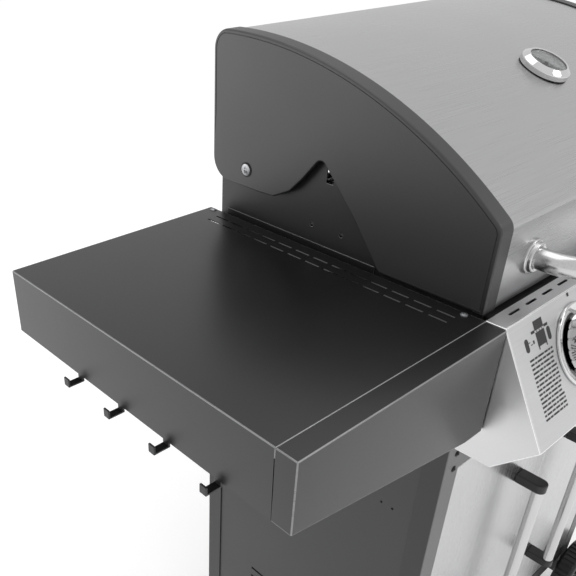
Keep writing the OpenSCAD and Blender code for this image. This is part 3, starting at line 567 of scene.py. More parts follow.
# Burner sheet that has been hot: straw and grey clouds over dull steel.
heated_steel = surface("heat_tinted_steel", "8E8780", 1.0, 0.45, 24, bump_mm=0.01,
                       tint=0.18, uneven=0.08)
# Turned brass valves: warm yellow, with a grain that runs along the stem.
turned_brass = surface("turned_brass", "B08D4A", 1.0, 0.30, [1.2, 1.2, 12], bump_mm=0.004, tint=0.06)
# Drawn aluminium gas pipe: pale and satin, with faint lines along it.
drawn_aluminium = surface("drawn_aluminium_tube", "BFC1C3", 1.0, 0.36, [80, 1.0, 1.0], tint=0.05)
print("bare metals:", len(bpy.data.materials))

# %% Coats and paints
# Powder coat, melted flat: orange-peel waves 2 to 3 mm long and a few hundredths deep.
powder_black = surface("black_powder_coat", "232324", 0.0, 0.42, 2.4, bump_mm=0.020,
                       tint=0.05, uneven=0.02, blotch=0.015)
powder_shelf = surface("black_powder_coat_smooth", "121213", 0.0, 0.31, 2.8,
                       bump_mm=0.012, tint=0.04, uneven=0.015, blotch=0.015, Specular_IOR_Level=0.6)
powder_side = surface("black_powder_coat_side", "2C2C2D", 0.0, 0.40, 2.4, bump_mm=0.018,
                      tint=0.05, uneven=0.02)
# Painted highlight on the folds: a pale, half-metallic colour on the rounded strips stands in for the light that
# the folds catch, so folds are bright lines.
powder_fold_painted_highlight = surface("black_powder_coat_painted_fold_highlight", "868687", 0.5, 0.30, [30, 30, 3], tint=0.10,
                      uneven=0.05, blotch=0.02)
# The stiles beside the doors are painted silver grey: no brush lines, hardly any mirror.
stile_paint = surface("silver_grey_enamel", "6C6C6D", 0.35, 0.48, 1.8, bump_mm=0.008,
                      tint=0.06, uneven=0.03)
# The lid's cast-look ends carry a dark grey coat, with a stronger gloss than plain powder.
cap_coat = surface("dark_grey_metallic_coat", "242425", 0.0, 0.43, 1.8, bump_mm=0.014,
                   tint=0.10, uneven=0.03, blotch=0.02, Specular_IOR_Level=0.7)
# Porcelain enamel on cast iron: matt, deep black, grainy.
iron_enamel = surface("enamelled_cast_iron", "19191A", 0.0, 0.55, 3.2, bump_mm=0.10,
                      tint=0.12, uneven=0.08)
print("with coats and paints:", len(bpy.data.materials))

# %% Plastics, ceramic, glass and print
# Moulded nylon and polyethylene are dull black, with the fine grain of their moulds.
moulded_black = surface("moulded_black_nylon", "151516", 0.0, 0.40, 1.4, bump_mm=0.015,
                        tint=0.08, uneven=0.04)
wheel_plastic = surface("moulded_black_polyethylene", "101011", 0.0, 0.48, 2.0,
                        bump_mm=0.03, tint=0.10, uneven=0.05)
# Black oxide on screws: nearly black, with the steel's shine under it.
black_oxide = surface("black_oxide_steel", "0E0E0F", 0.6, 0.32, 3, bump_mm=0.01, tint=0.10)
# The igniters' ceramic is glazed: cream white and glossy.
glazed_ceramic = surface("glazed_ceramic", "D8D3C8", 0.0, 0.22, 5, bump_mm=0.01, tint=0.04)
# The dial is a thin brushed plate, its ink is matt, and its glass is clear and smooth.
dial_paper = surface("brushed_dial_plate", "8C8C8D", 0.9, 0.42, [16, 0.7, 0.7], bump_mm=0.003,
                     tint=0.10, uneven=0.04)
printed_ink = surface("printed_black_ink", "2A2A2B", 0.0, 0.55, 0.9, tint=0.12)
pointer_paint = surface("painted_pointer", "1A1A1A", 0.0, 0.40, 2, tint=0.05)
dial_glass = surface("clear_dial_glass", "F4F6F6", 0.0, 0.03, 20, tint=0.01, uneven=0.005,
                     blotch=0.005, Transmission_Weight=1.0, IOR=1.45)
print("all finishes:", len(bpy.data.materials))

# %% [markdown]
# ## A finish for every CAD part
# The CAD parts name their material in a slot, so one table from slot to finish covers them
# all. A second, short table holds the parts whose sheet differs from others of their slot.

# %% Finishes onto the CAD parts
FINISH = {
    "black_powder_coat": powder_black, "satin_shelf_coat": powder_shelf,
    "brushed_stainless": brushed_across, "polished_stainless": polished_tube,
    "chrome_plate": chrome_plate, "zinc_steel": zinc_plate, "heat_steel": heated_steel,
    "valve_brass": turned_brass, "gas_pipe": drawn_aluminium, "black_plastic": moulded_black,
    "wheel_plastic": wheel_plastic, "enamelled_iron": iron_enamel, "ceramic": glazed_ceramic,
    "black_screw": black_oxide, "dial_face": dial_paper, "dial_glass": dial_glass}
NODE_FINISH = {
    "door_frame": stile_paint, "left_door_liner": brushed_up, "right_door_liner": brushed_up,
    "left_side_panel": powder_side, "right_side_panel": powder_side, "drip_tray": galvanised,
    "grease_cup": galvanised}
for node, part in frame["nodes"].items():
    part.data.materials.clear()
    part.data.materials.append(NODE_FINISH.get(node, FINISH[slot_of[node]]))
print(len(bpy.data.materials), "finishes on", len(frame["nodes"]), "CAD nodes")

# %% [markdown]
# ## The lid: one long curve
# The hood is a sheet rolled to a large radius with two tight folds, so its end view is an
# outline with three arcs. A strip of that outline carried along X is the whole hood. The
# same outline, moved inwards, gives the end caps, so the three pieces always fit.

# %% Lid outline
LID_FRONT = -206.0
LID_BACK = 242.0
ROLL_RADIUS = 639.0
ROLL_CENTRE = (197.6, 245.3 - ROLL_RADIUS)
FRONT_FOLD = 18.0
BACK_FOLD = 26.0
front_fold_y = LID_FRONT + FRONT_FOLD
back_fold_y = LID_BACK - BACK_FOLD


def fold_place(fold_y, fold):
    """The height of a fold's centre, and the angle at which its arc meets the long roll."""
    across = fold_y - ROLL_CENTRE[0]
    up = sqrt((ROLL_RADIUS - fold) ** 2 - across ** 2)
    return ROLL_CENTRE[1] + up, degrees(atan2(up, across))


front_fold_z, front_angle = fold_place(front_fold_y, FRONT_FOLD)
back_fold_z, back_angle = fold_place(back_fold_y, BACK_FOLD)


def lid_outline(inset, back_z):
    """The lid's end outline in millimetres, from its front foot over the top to back_z."""
    front = [(LID_FRONT + inset, 1.0), (LID_FRONT + inset, front_fold_z * 0.5)]
    front += arc((front_fold_y, front_fold_z), FRONT_FOLD - inset, 180, front_angle, 12)
    top = arc(ROLL_CENTRE, ROLL_RADIUS - inset, front_angle, back_angle, 72)[1:]
    back = arc((back_fold_y, back_fold_z), BACK_FOLD - inset, back_angle, 0, 14)[1:]
    return front + top + back + [(LID_BACK - inset, back_z)]


cap_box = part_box("left_lid_cap")
hood_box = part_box("lid_hood")
print("hood reaches", [round(value, 4) for value in hood_box[1]])

# %% Hood
HOOD_INSET = 1.8
HOOD_BACK_Z = 130.0
front_lip = [(LID_FRONT + 14, 1.0), (LID_FRONT + 4.2, 1.0)]
hood_line = [at(hood_box[0].x / MM, y, z) for y, z in front_lip + lid_outline(HOOD_INSET, HOOD_BACK_Z)]
edges = [(i, i + 1) for i in range(len(hood_line) - 1)]
hood = mesh_object("hood_sheet", hood_line, [], edges)
hood = grown(hood, "strip", Width=hood_box[1].x - hood_box[0].x, Material=brushed_across)
outwards(hood)
highest = max(hood.data.polygons, key=lambda face: face.center.z)
if highest.normal.z < 0:
    hood.data.flip_normals()
piece(thickened(hood, SHEET), brushed_across, "lid_hood", sharp=25)

# %% [markdown]
# ## The lid's end caps
# Each cap is a pressed pan: a flat face, a rounded rim that laps over the hood, and a fine
# groove where the two meet. The face is cut away over the shelf in a notch, so that the lid
# can swing back over the end sheet. One list of (inset, distance from the face) gives the
# section of rim and groove. It is carried along the lid's outline, with its corners mitred,
# and the groove fades out below the back fold, where the cap's plain edge takes over.

# %% Caps
RIM_DEPTH = 24.0
PLAIN_DEPTH = 3.2
EDGE_END = 2.4
RIM_SECTION = [
    (0.0, RIM_DEPTH), (0.0, PLAIN_DEPTH), (0.3, 1.7), (1.1, 0.5), (EDGE_END, 0.0), (4.2, 0.0),
    (4.6, 0.7), (5.2, 0.7), (5.6, 0.0)]
CAP_LOWER = filleted(
    [(211, 46), (150, 45.6), (121, 47), (92, 62), (71, 84), (43, 118), (13, 87), (-20, 53),
     (-52, 13), (-62, 1.0)], 9, closed=False)
CAP_BACK = arc((LID_BACK - 31, 77), 31, 0, -90, 12)


def mitres(points):
    """For each point of an outline that runs clockwise, the way to its inside."""
    ways = []
    for i, (y, z) in enumerate(points):
        before = Vector((y - points[i - 1][0], z - points[i - 1][1])).normalized()
        after = points[(i + 1) % len(points)]
        after = Vector((after[0] - y, after[1] - z)).normalized()
        inwards = [Vector((side.y, -side.x)) for side in (before, after)]
        ways.append((inwards[0] + inwards[1]) / (1 + inwards[0].dot(inwards[1])))
    return ways


def lid_cap(side):
    """One cap, with its face outwards; side is -1 at the left end and 1 at the right."""
    face_x = cap_box[0].x / MM
    hood_part = lid_outline(0, 134.0)
    fading = [(LID_BACK, z) for z in (130, 122, 114, 106, 98, 90)]
    outline = hood_part + fading + CAP_BACK + CAP_LOWER[1:]
    count = len(outline)
    groove = [1.0] * len(hood_part) + [1 - i / len(fading) for i in range(1, len(fading) + 1)]
    groove += [0.0] * (count - len(groove))
    points = []
    faces = []
    for ring, (inset, depth) in enumerate(RIM_SECTION):
        for i, ((y, z), way) in enumerate(zip(outline, mitres(outline))):
            if ring == 0 and i >= len(hood_part):
                depth = PLAIN_DEPTH
            reach = min(inset, EDGE_END) + max(0.0, inset - EDGE_END) * groove[i]
            drop = depth * groove[i] if inset > EDGE_END else depth
            points.append(at(face_x + drop, y + way.x * reach, z + way.y * reach))
        if ring:
            a, b = (ring - 1) * count, ring * count
            faces += [(a + i, a + (i + 1) % count, b + (i + 1) % count, b + i) for i in range(count)]
    faces.append(tuple(range(len(points) - count, len(points))))
    made = outwards(mesh_object("lid_cap_" + ("left" if side < 0 else "right"), points, faces))
    big = max(made.data.polygons, key=lambda face: face.area)
    if big.normal.x > 0:
        made.data.flip_normals()
    return mirrored(thickened(made, SHEET), side)


for side, node in ((-1, "left_lid_cap"), (1, "right_lid_cap")):
    piece(lid_cap(side), cap_coat, node, sharp=30)

# %% [markdown]
# ## The lid's handle
# A tube bent at both ends is a circle carried along a path. The path is half worked out and
# half mirrored. Two stepped flanges, turned on a lathe, cover the holes in the hood.

# %% Handle
handle_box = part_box("lid_handle")
TUBE_RADIUS = 12.7
BEND = 42.0
FOOT_X = 246.0
handle_z = (handle_box[0].z + handle_box[1].z) / 2
foot_y = handle_box[1].y / MM
bar_y = handle_box[0].y / MM + TUBE_RADIUS
half_path = [(-FOOT_X, foot_y), (-FOOT_X, bar_y + BEND + 4)] + arc(
    (-FOOT_X + BEND, bar_y + BEND), BEND, 180, 270, 14)
path = half_path + [(-x, y) for x, y in reversed(half_path)]
handle_line = [(x * MM, y * MM, handle_z) for x, y in path]
handle = mesh_object("handle_tube", handle_line, [], [(i, i + 1) for i in range(len(path) - 1)])
grown(handle, "tube", Radius=TUBE_RADIUS * MM, Sides=40, Material=polished_tube)
piece(outwards(handle), polished_tube, "lid_handle", sharp=50)

# %% Handle flanges
FLANGE = [
    (12.75, 0), (21.2, 0), (21.2, 2.8), (20.6, 3.6), (19.6, 4.0), (18.4, 4.2), (17.9, 4.8),
    (17.9, 7.6), (17.2, 8.6), (16.0, 9.0), (14.4, 8.8), (12.75, 8.2), (12.75, 0)]
facing_front = Matrix.Rotation(radians(90), 4, "X")
flange_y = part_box("handle_flanges")[1].y
flanges = []
for side in (-1, 1):
    place = Matrix.Translation((side * FOOT_X * MM, flange_y, handle_z))
    flanges.append(moved(lathe("flange", FLANGE, steps=72), place @ facing_front))
piece(joined("handle_flange_pair", flanges), polished_tube, "handle_flanges", sharp=40)

# %% [markdown]
# ## The thermometer
# A chromed ring with a wide bevel, a brushed dial under glass, ticks round the dial and a
# pointer. A thin dark gasket shows under the ring. The ticks are one small bar and a ring
# of copies of it.

# %% Thermometer
GAUGE_ANGLE = 112.8
gauge_reach = ROLL_RADIUS - HOOD_INSET
gauge_y = ROLL_CENTRE[0] + gauge_reach * cos(radians(GAUGE_ANGLE))
gauge_z = ROLL_CENTRE[1] + gauge_reach * sin(radians(GAUGE_ANGLE))
gauge_tilt = Matrix.Rotation(radians(GAUGE_ANGLE - 90), 4, "X")
on_gauge = Matrix.Translation(at(0, gauge_y, gauge_z)) @ gauge_tilt
BEZEL = [
    (0, 5.9), (25.8, 5.9), (25.9, 12.2), (26.3, 12.9), (27.2, 13.2), (28.4, 12.8), (34.3, 8.4),
    (34.8, 7.7), (35.0, 6.8), (35.0, 1.3), (34.6, 0.9), (32.4, 0.9), (32.2, 0.06), (0, 0.06)]
bezel = joined("thermometer_ring", [
    lathe("ring", BEZEL, steps=128),
    lathe("probe", [(0, 0.2), (3, 0.2), (3, -54), (2.4, -55), (0, -55)], steps=24)])
piece(moved(bezel, on_gauge), chrome_plate, "thermometer_bezel", sharp=40)
gasket = lathe("thermometer_gasket", [
    (32.5, 0.05), (34.4, 0.05), (34.4, 0.85), (32.5, 0.85), (32.5, 0.05)])
piece(moved(gasket, on_gauge), moulded_black, body="lid", sharp=40)

# %% Dial, ticks, pointer and glass
dial = lathe("thermometer_dial_plate", [(0, 6.0), (25.6, 6.0), (25.6, 6.9), (25.3, 7.1), (0, 7.1)])
piece(moved(dial, on_gauge), dial_paper, "thermometer_dial", sharp=40)
# Fine and coarse ticks: how many, the radius that they reach, their width and their length.
TICKS = ((28, 22.6, 0.5, 2.2), (7, 21.6, 1.1, 3.6))
SCALE_TURN = 360 * 0.8
marks = []
for count, reach, width, length in TICKS:
    tick = block_mm("tick", (-width / 2, reach - length, 7.12), (width / 2, reach, 7.3))
    turn = radians(SCALE_TURN * count / (count - 1))
    tick = grown(tick, "ring", Count=count, Turn=turn, Material=printed_ink)
    marks.append(moved(tick, Matrix.Rotation(radians(SCALE_TURN / 2), 4, "Z")))
piece(moved(joined("thermometer_ticks", marks), on_gauge), printed_ink, body="lid")
POINTER_TURN = 140
hand = [(x * MM, y * MM) for x, y in ((-1.2, -5), (1.2, -5), (0.35, 19), (-0.35, 19))]
pointer = joined("thermometer_pointer", [
    prism("hand", hand, 7.9 * MM, 8.3 * MM, "Z"),
    lathe("hub", [(0, 7.12), (2.6, 7.12), (2.6, 8.6), (2.0, 9.0), (0, 9.1)], steps=32)])
turned = on_gauge @ Matrix.Rotation(radians(POINTER_TURN), 4, "Z")
piece(moved(pointer, turned), pointer_paint, body="lid")
glass = lathe("thermometer_lens", [
    (0, 9.6), (25.7, 9.6), (25.7, 10.6), (22, 11.0), (14, 11.5), (7, 11.75), (0, 11.85)])
piece(moved(glass, on_gauge), dial_glass, "thermometer_glass", sharp=40)

# %% [markdown]
# ## The control panel
# One sheet, folded along its length, with a closed end at each side. The folds have a radius
# of two or three millimetres, and they catch the light, so the section is drawn with arcs.
# The row of air slots along the top is cut by one slot, repeated.

# %% Panel
panel_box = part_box("control_panel")
PANEL_LIP = -212.0
SLANT_TOP = (-236.8, 0.0)
SLANT_FOOT = (-311.0, -129.0)
PANEL_BASE = (-259.4, -181.0)
panel_half = panel_box[1].x
section = [(PANEL_LIP, -12.0), (PANEL_LIP, 0.0), SLANT_TOP, SLANT_FOOT, PANEL_BASE,
           (PANEL_LIP, -182.0), (PANEL_LIP, -170.0)]
section = [(mid_y + y * MM, top_z + z * MM) for y, z in section]
panel = opened_behind(prism("panel_shell", section, -panel_half, panel_half, "X"), least_area=0.05)
softened(panel, 1.4 * MM, segments=3, angle=20, folds=True)
thickened(panel, SHEET)
print("panel shell", len(panel.data.polygons), "faces")

# %% Slots and stem holes


def stadium(length, width, steps=8):
    """Outline of a slot with round ends, in metres."""
    half = (length - width) / 2
    ends = arc((half, 0), width / 2, -90, 90, steps) + arc((-half, 0), width / 2, 90, 270, steps)
    return [(x * MM, y * MM) for x, y in ends]


SLOTS = 17
slot_pitch = (2 * panel_half - 85 * MM) / (SLOTS - 1)
slot = prism("slot", stadium(23, 3.6), top_z - 6 * MM, top_z + 4 * MM, "Z")
moved(slot, Matrix.Translation((-(SLOTS - 1) / 2 * slot_pitch, mid_y - 222.8 * MM, 0)))
slots = grown(slot, "row", Count=SLOTS, Step=(slot_pitch, 0, 0), Material=brushed_panel)
cut(panel, slots)
KNOBS = ("left", "middle", "right")
STEM_HOLE = 7


def knob_seat(name):
    """The place of a knob's axis on the panel, with Z along that axis."""
    turn = joints[name + "_knob_turn"]
    toward = Vector(turn["axis"])
    return Matrix.Translation(turn["pos_m"]) @ Matrix.Rotation(atan2(-toward.y, toward.z), 4, "X")


for name in KNOBS:
    hole = lathe("hole", [(0, -8), (STEM_HOLE, -8), (STEM_HOLE, 8), (0, 8)], steps=40)
    cut(panel, moved(hole, knob_seat(name)))
# The panel's folds get the finish that paints a highlight on them.
piece(panel, brushed_panel, "control_panel", sharp=30, folds=steel_fold_painted_highlight)

# %% [markdown]
# ## Knobs and their bezels
# A knob's skirt has twenty flat lands with a narrow groove between each two, so that greasy
# fingers can turn it. Its outline follows that rule. A raised grip runs across the face, and
# a collar hides the brass stem. Under each knob lies a dished bezel, a mirror that shows the
# knob again.

# %% Knobs
LANDS = 20
# Height above the panel, radius and depth of the grooves, from the skirt's foot to its face.
SKIRT = [(6.0, 38.6, 1.2), (6.8, 39.9, 1.6), (18.6, 39.9, 1.6), (19.8, 39.4, 1.4), (20.8, 37.9, 0.6),
         (23.0, 33.8, 0.0), (24.2, 31.2, 0.0), (24.6, 29.0, 0.0), (24.2, 20.0, 0.0), (24.0, 0.05, 0.0)]


def land_outline(radius, groove):
    """The skirt's outline: flat lands, and between each two a groove."""
    points = []
    land = ((-0.5, groove), (-0.44, groove * 0.8), (-0.39, 0), (0, -0.05), (0.39, 0),
            (0.44, groove * 0.8))
    for i in range(LANDS):
        for share, drop in land:
            a = 2 * pi * (i + share) / LANDS
            points.append(((radius - drop) * cos(a), (radius - drop) * sin(a)))
    return points


def knob(name):
    """One knob on its own axis, standing clear of the panel by its base, and its printed mark."""
    rings = [land_outline(radius, groove) for z, radius, groove in SKIRT]
    count = len(rings[0])
    points = [(x * MM, y * MM, level[0] * MM) for level, ring in zip(SKIRT, rings) for x, y in ring]
    faces = [tuple(range(count))]
    for ring in range(len(rings) - 1):
        for i in range(count):
            j = (i + 1) % count
            a = ring * count
            faces.append((a + i, a + j, a + count + j, a + count + i))
    faces.append(tuple(range((len(rings) - 1) * count, len(rings) * count)))
    skirt = outwards(mesh_object("skirt", points, faces))
    grip = prism("grip", stadium(60, 16, 16), 20 * MM, 46 * MM, "Z")
    for point in grip.data.vertices:
        if point.co.z > 40 * MM:
            point.co.x *= 0.97
            point.co.y *= 0.80
    moved(grip, Matrix.Rotation(radians(90), 4, "Z"))
    softened(grip, 2.2 * MM, segments=4, angle=50)
    mark = block_mm("mark", (-0.8, 12, 45.3), (0.8, 27, 46.05))
    collar = lathe("collar", [(0, 6.2), (6.6, 6.2), (6.6, 1.0), (0, 1.0)], steps=32)
    return joined(name, [skirt, grip, collar]), mark


BEZEL_DISH = [
    (8.2, 0.06), (51.4, 0.06), (51.9, 0.6), (52.0, 1.6), (51.7, 3.0), (51.0, 3.8), (50.0, 4.05),
    (48.8, 3.7), (46.5, 2.9), (43.5, 2.1), (40.5, 1.7), (37.0, 1.5), (8.2, 1.3), (8.2, 0.06)]
bezels = []
for name in KNOBS:
    seat = knob_seat(name)
    body, mark = knob(name + "_knob_cap")
    piece(moved(body, seat), chrome_plate, name + "_knob", sharp=28)
    mark.name = name + "_knob_mark"
    piece(moved(mark, seat), printed_ink, body=name + "_knob")
    bezels.append(moved(lathe("bezel", BEZEL_DISH, steps=128), seat))
piece(joined("knob_bezel_dishes", bezels), chrome_plate, "knob_bezels", sharp=50)

# %% [markdown]
# ## The side shelves
# Each shelf is a folded tray turned upside down, with a separate fascia across its front.
# Folds in powder-coated sheet look soft, because the coat pulls back from a sharp edge. The
# right shelf is the left one mirrored, so both come from one function.

# %% Shelves
SHELF_SHEET = 1.2 * MM
LIP = 12 * MM
shelf_low, shelf_high = shelf_box
SLOT_ROWS = (19.0, 35.0)
SHELF_SLOTS = 13


def shelf_top(name, side):
    """The folded top with its turned-down sides and two rows of vent slots."""
    x0, x1 = shelf_low.x, shelf_high.x
    y0, y1 = shelf_low.y, shelf_high.y
    z0, z1 = shelf_low.z, shelf_high.z
    points = [(x0, y0, z1), (x1, y0, z1), (x1, y1, z1), (x0, y1, z1), (x0, y0, z0), (x0, y1, z0),
              (x1, y1, z0), (x1, y0, z1 - LIP), (x1, y1, z1 - LIP), (x0, y0, z1 - LIP)]
    faces = [(0, 1, 2, 3), (0, 3, 5, 4, 9), (3, 2, 8, 6, 5), (1, 7, 8, 2), (0, 9, 7, 1)]
    made = mesh_object(name, points, faces)
    softened(made, 1.2 * MM, segments=3, angle=60, folds=True)
    thickened(made, SHELF_SHEET)
    pitch = (480 - 80) / SHELF_SLOTS * MM
    for reach in SLOT_ROWS:
        slot = block("slot", (x1 - (reach + 1.3) * MM, -12.2 * MM, z1 - 5 * MM),
                     (x1 - (reach - 1.3) * MM, 12.2 * MM, z1 + 4 * MM))
        moved(slot, Matrix.Translation((0, mid_y + 10 * MM - (SHELF_SLOTS - 1) / 2 * pitch, 0)))
        cut(made, grown(slot, "row", Count=SHELF_SLOTS, Step=(0, pitch, 0), Material=powder_shelf))
    return mirrored(made, side)


def fascia(name, side):
    """The front cover of a shelf: its lower edge runs down towards the grill's body."""
    low, high = fascia_box
    flat_x = high.x - 34 * MM
    outline = [(low.x, high.z), (low.x, high.z - 86 * MM), (flat_x, low.z), (high.x, low.z),
               (high.x, high.z)]
    made = opened_behind(prism(name, outline, low.y, high.y, "Y"))
    softened(made, 1.2 * MM, segments=3, angle=15, folds=True)
    return mirrored(thickened(made, SHELF_SHEET), side)


for side, hand in ((-1, "left"), (1, "right")):
    # The folds of the tray and the fascia get the finish that paints a highlight on them.
    piece(shelf_top(hand + "_shelf_tray", side), powder_shelf, hand + "_shelf_top", sharp=30,
          folds=powder_fold_painted_highlight)
    piece(fascia(hand + "_shelf_cover", side), powder_shelf, hand + "_shelf_fascia", sharp=30,
          folds=powder_fold_painted_highlight)
    # The shelf's inner flange closes the gap between the shelf and the firebox from below.
    wall_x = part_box("left_end_plate")[0].x - 1.6 * MM
    flange_z = top_z - LIP - 0.1 * MM
    flange = block(hand + "_shelf_flange",
                   (shelf_high.x - 1 * MM, shelf_low.y + 6 * MM, flange_z - SHELF_SHEET),
                   (wall_x, shelf_high.y - 3 * MM, flange_z))
    piece(mirrored(flange, side), powder_shelf, body="cart")

# %% [markdown]
# ## Doors
# A door skin is a shallow folded pan of stainless sheet. Its handle is a polished upright
# bar between two moulded arms, each a block with a round nose.

# %% Doors
BAR_RADIUS = 9.5
NOSE = 11.0


def door_skin(name, low, high):
    """The pan: a front face and four sides, open behind, where the liner closes it."""
    made = softened(opened_behind(block(name, low, high)), 1.8 * MM, segments=3, angle=60)
    return thickened(made, 1.2 * MM)


def bracket(x, nose_y, back_y, low_z, high_z):
    """One arm, with its nose towards the front and its edges rounded."""
    nose = arc((x, nose_y), NOSE * MM, 180, 360, 20)
    outline = [(x - NOSE * MM, back_y)] + nose + [(x + NOSE * MM, back_y)]
    made = prism("arm", outline, low_z, high_z, "Z")
    return softened(made, 1.6 * MM, segments=3, angle=60)


for side, hand in ((-1, "left"), (1, "right")):
    low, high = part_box(hand + "_door_skin")
    piece(door_skin(hand + "_door_pan", low, high), brushed_up, hand + "_door_skin", sharp=30)
    bar_low, bar_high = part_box(hand + "_door_bar")
    bar_x = (bar_low.x + bar_high.x) / 2
    bar_front = (bar_low.y + bar_high.y) / 2
    height = (bar_high.z - bar_low.z) / MM
    bar = lathe(hand + "_door_grip", [
        (0, 0), (BAR_RADIUS - 0.6, 0), (BAR_RADIUS, 0.6), (BAR_RADIUS, height - 0.6),
        (BAR_RADIUS - 0.6, height), (0, height)], steps=64)
    piece(moved(bar, Matrix.Translation((bar_x, bar_front, bar_low.z))), polished_upright,
          hand + "_door_bar", sharp=40)
    # A thin black strip along the stile paints the shade in the narrow gap beside the door.
    stile_x = (abs(low.x) if side < 0 else abs(high.x)) + 2.5 * MM
    gap_shade_strip = block(hand + "_stile_gap_shade_strip",
                 (-stile_x, low.y + 2 * MM, low.z), (-stile_x + 1.2 * MM, high.y, high.z))
    piece(mirrored(gap_shade_strip, side), moulded_black, body="cart")
    arms_low, arms_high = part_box(hand + "_door_brackets")
    arms = [bracket(bar_x, bar_front, arms_high.y, z, z + 16 * MM)
            for z in (arms_low.z, arms_high.z - 16 * MM)]
    piece(joined(hand + "_door_arms", arms), moulded_black, hand + "_door_brackets", sharp=35)

# %% [markdown]
# ## Wheels
# A blow-moulded wheel has a hub, a recessed web with stiffening ribs and a ribbed tread.
# The body is turned. The ribs of the web and of the tread are two rings of one block each.

# %% Wheels
TREAD_RIBS = 44
WEB_RIBS = 10


def wheel(name):
    """One wheel on the Z axis, its width from 0 up."""
    low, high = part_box(name)
    radius = (high.z - low.z) / 2 / MM
    width = (high.y - low.y) / MM
    outline = [
        (5.06, 0.4), (6, 0), (16, 0), (18, 0.6), (18.6, 2), (19, 8), (21, 10), (radius - 26, 10),
        (radius - 24, 8.5), (radius - 22.6, 2.4), (radius - 21, 1.4), (radius - 12, 0.6),
        (radius - 7, 1.2), (radius - 4, 3), (radius - 2.6, 6), (radius - 2.4, 9)]
    whole = outline + [(r, width - z) for r, z in reversed(outline)] + [(5.06, width - 0.4), outline[0]]
    parts = [lathe("body", whole, steps=120)]
    rib = block_mm("rib", (radius - 3.4, -2.6, 6), (radius, 2.6, width - 6))
    softened(rib, 0.9 * MM, segments=2, angle=60)
    parts.append(grown(rib, "ring", Count=TREAD_RIBS, Turn=2 * pi, Material=wheel_plastic))
    for z0, z1 in ((2.2, 11), (width - 11, width - 2.2)):
        spoke = block_mm("spoke", (17, -1.6, z0), (radius - 22, 1.6, z1))
        parts.append(grown(spoke, "ring", Count=WEB_RIBS, Turn=2 * pi, Material=wheel_plastic))
    made = joined(name + "_moulding", parts)
    lie_down = Matrix.Rotation(radians(-90), 4, "X")
    centre = Vector(((low.x + high.x) / 2, low.y, (low.z + high.z) / 2))
    return moved(made, Matrix.Translation(centre) @ lie_down)


for name in ("front_wheel", "rear_wheel"):
    piece(wheel(name), wheel_plastic, name, sharp=35)

# %% [markdown]
# ## Cart and firebox sheets
# The posts, rails and end sheets have the right shape already, but their edges are razor
# sharp. A copy of each, with its doubled points merged and a small bevel on every edge,
# catches a thin line of light as coated sheet does.

# %% Softer edges for the CAD's sheets


def eased(node, width, folds=False):
    """A copy of a CAD part with its edges rounded."""
    made = bpy.data.objects.new(node + "_eased", frame["nodes"][node].data.copy())
    bpy.context.scene.collection.objects.link(made)

    def steps(work):
        bmesh.ops.remove_doubles(work, verts=work.verts, dist=0.02 * MM)
        bmesh.ops.dissolve_limit(work, angle_limit=radians(1), verts=work.verts, edges=work.edges)
    return softened(reworked(made, steps), width, segments=2, angle=50, folds=folds)


EASED = {
    "left_posts": (powder_black, 0.5), "right_posts": (powder_black, 0.5),
    "cart_rails": (powder_black, 0.3), "door_frame": (stile_paint, 0.4),
    "left_side_panel": (powder_side, 0.4), "right_side_panel": (powder_side, 0.4),
    "rear_panel": (powder_black, 0.4), "bottom_shelf": (powder_black, 0.4),
    "left_end_plate": (powder_black, 0.5), "right_end_plate": (powder_black, 0.5),
    "left_shelf_frame": (powder_black, 0.7), "right_shelf_frame": (powder_black, 0.7),
    "tool_hooks": (moulded_black, 0.6), "levelling_feet": (moulded_black, 0.8),
    "left_grate": (iron_enamel, 1.2), "right_grate": (iron_enamel, 1.2),
    "drip_tray": (galvanised, 0.3), "flame_tamers": (heated_steel, 0.3)}
# On these parts the rounded edges get the finish that paints a highlight on them.
BRIGHT_FOLDS = ("left_shelf_frame", "right_shelf_frame", "left_end_plate", "right_end_plate")
for node, (finish, width) in EASED.items():
    bright = node in BRIGHT_FOLDS
    made = eased(node, width * MM, folds=bright)
    piece(made, finish, node, sharp=35, folds=powder_fold_painted_highlight if bright else None)

# %% [markdown]
# ## Screws
# The hinge pivots are pan-head screws with a cross recess, standing on a dark washer. The
# header's screws are small, black and domed, and the shelf bolts are bright. All heads come
# from one turned outline, and a cross of two blocks cuts the recess.

# %% Screw heads


def pan_head(radius, height, recess):
    """A domed head with a cross recess, its seat at z = 0 and its face towards Z."""
    dome = arc((0, height - radius * 1.1), radius * 1.1, 62, 90, 8)
    outline = [(0, 0), (radius, 0), (radius, height * 0.35)] + [
        (x, z) for x, z in dome if x < radius * 0.97] + [(0, height)]
    made = lathe("head", outline, steps=48)
    if recess:
        for turn in (0, 90):
            half_slit = recess * 0.16
            arm = block_mm("arm", (-recess, -half_slit, height - 1.6), (recess, half_slit, height + 2))
            cut(made, moved(arm, Matrix.Rotation(radians(turn), 4, "Z")))
    return made


def facing(point, axis):
    """The place and turn of a head that stands at a point and faces along an axis."""
    return Matrix.Translation(point) @ Vector(axis).to_track_quat("Z", "Y").to_matrix().to_4x4()


WASHER = [(4.2, -0.35), (10, -0.35), (10, 0.35), (4.2, 0.35), (4.2, -0.35)]
hinge = joints["lid_hinge"]["pos_m"]
heads = []
washers = []
for side in (-1, 1):
    seat = side * (abs(cap_box[0].x) + 0.4 * MM)
    place = facing((seat, hinge[1], hinge[2]), (side, 0, 0))
    heads.append(moved(pan_head(8.0, 3.0, 5.4), place))
    shank = lathe("shank", [(0, 0), (3.9, 0), (3.9, -24), (3.4, -25), (0, -25)], steps=32)
    heads.append(moved(shank, place))
    washers.append(moved(lathe("washer", WASHER, steps=48), place))
    nut = prism("nut", arc((0, 0), 7 * MM, 0, 300, 5), -20 * MM, -14.6 * MM, "Z")
    heads.append(moved(nut, place))
piece(joined("lid_hinge_pan_screws", heads), zinc_plate, "lid_hinge_screws", sharp=35)
piece(joined("lid_hinge_washers", washers), black_oxide, body="cart", sharp=35)

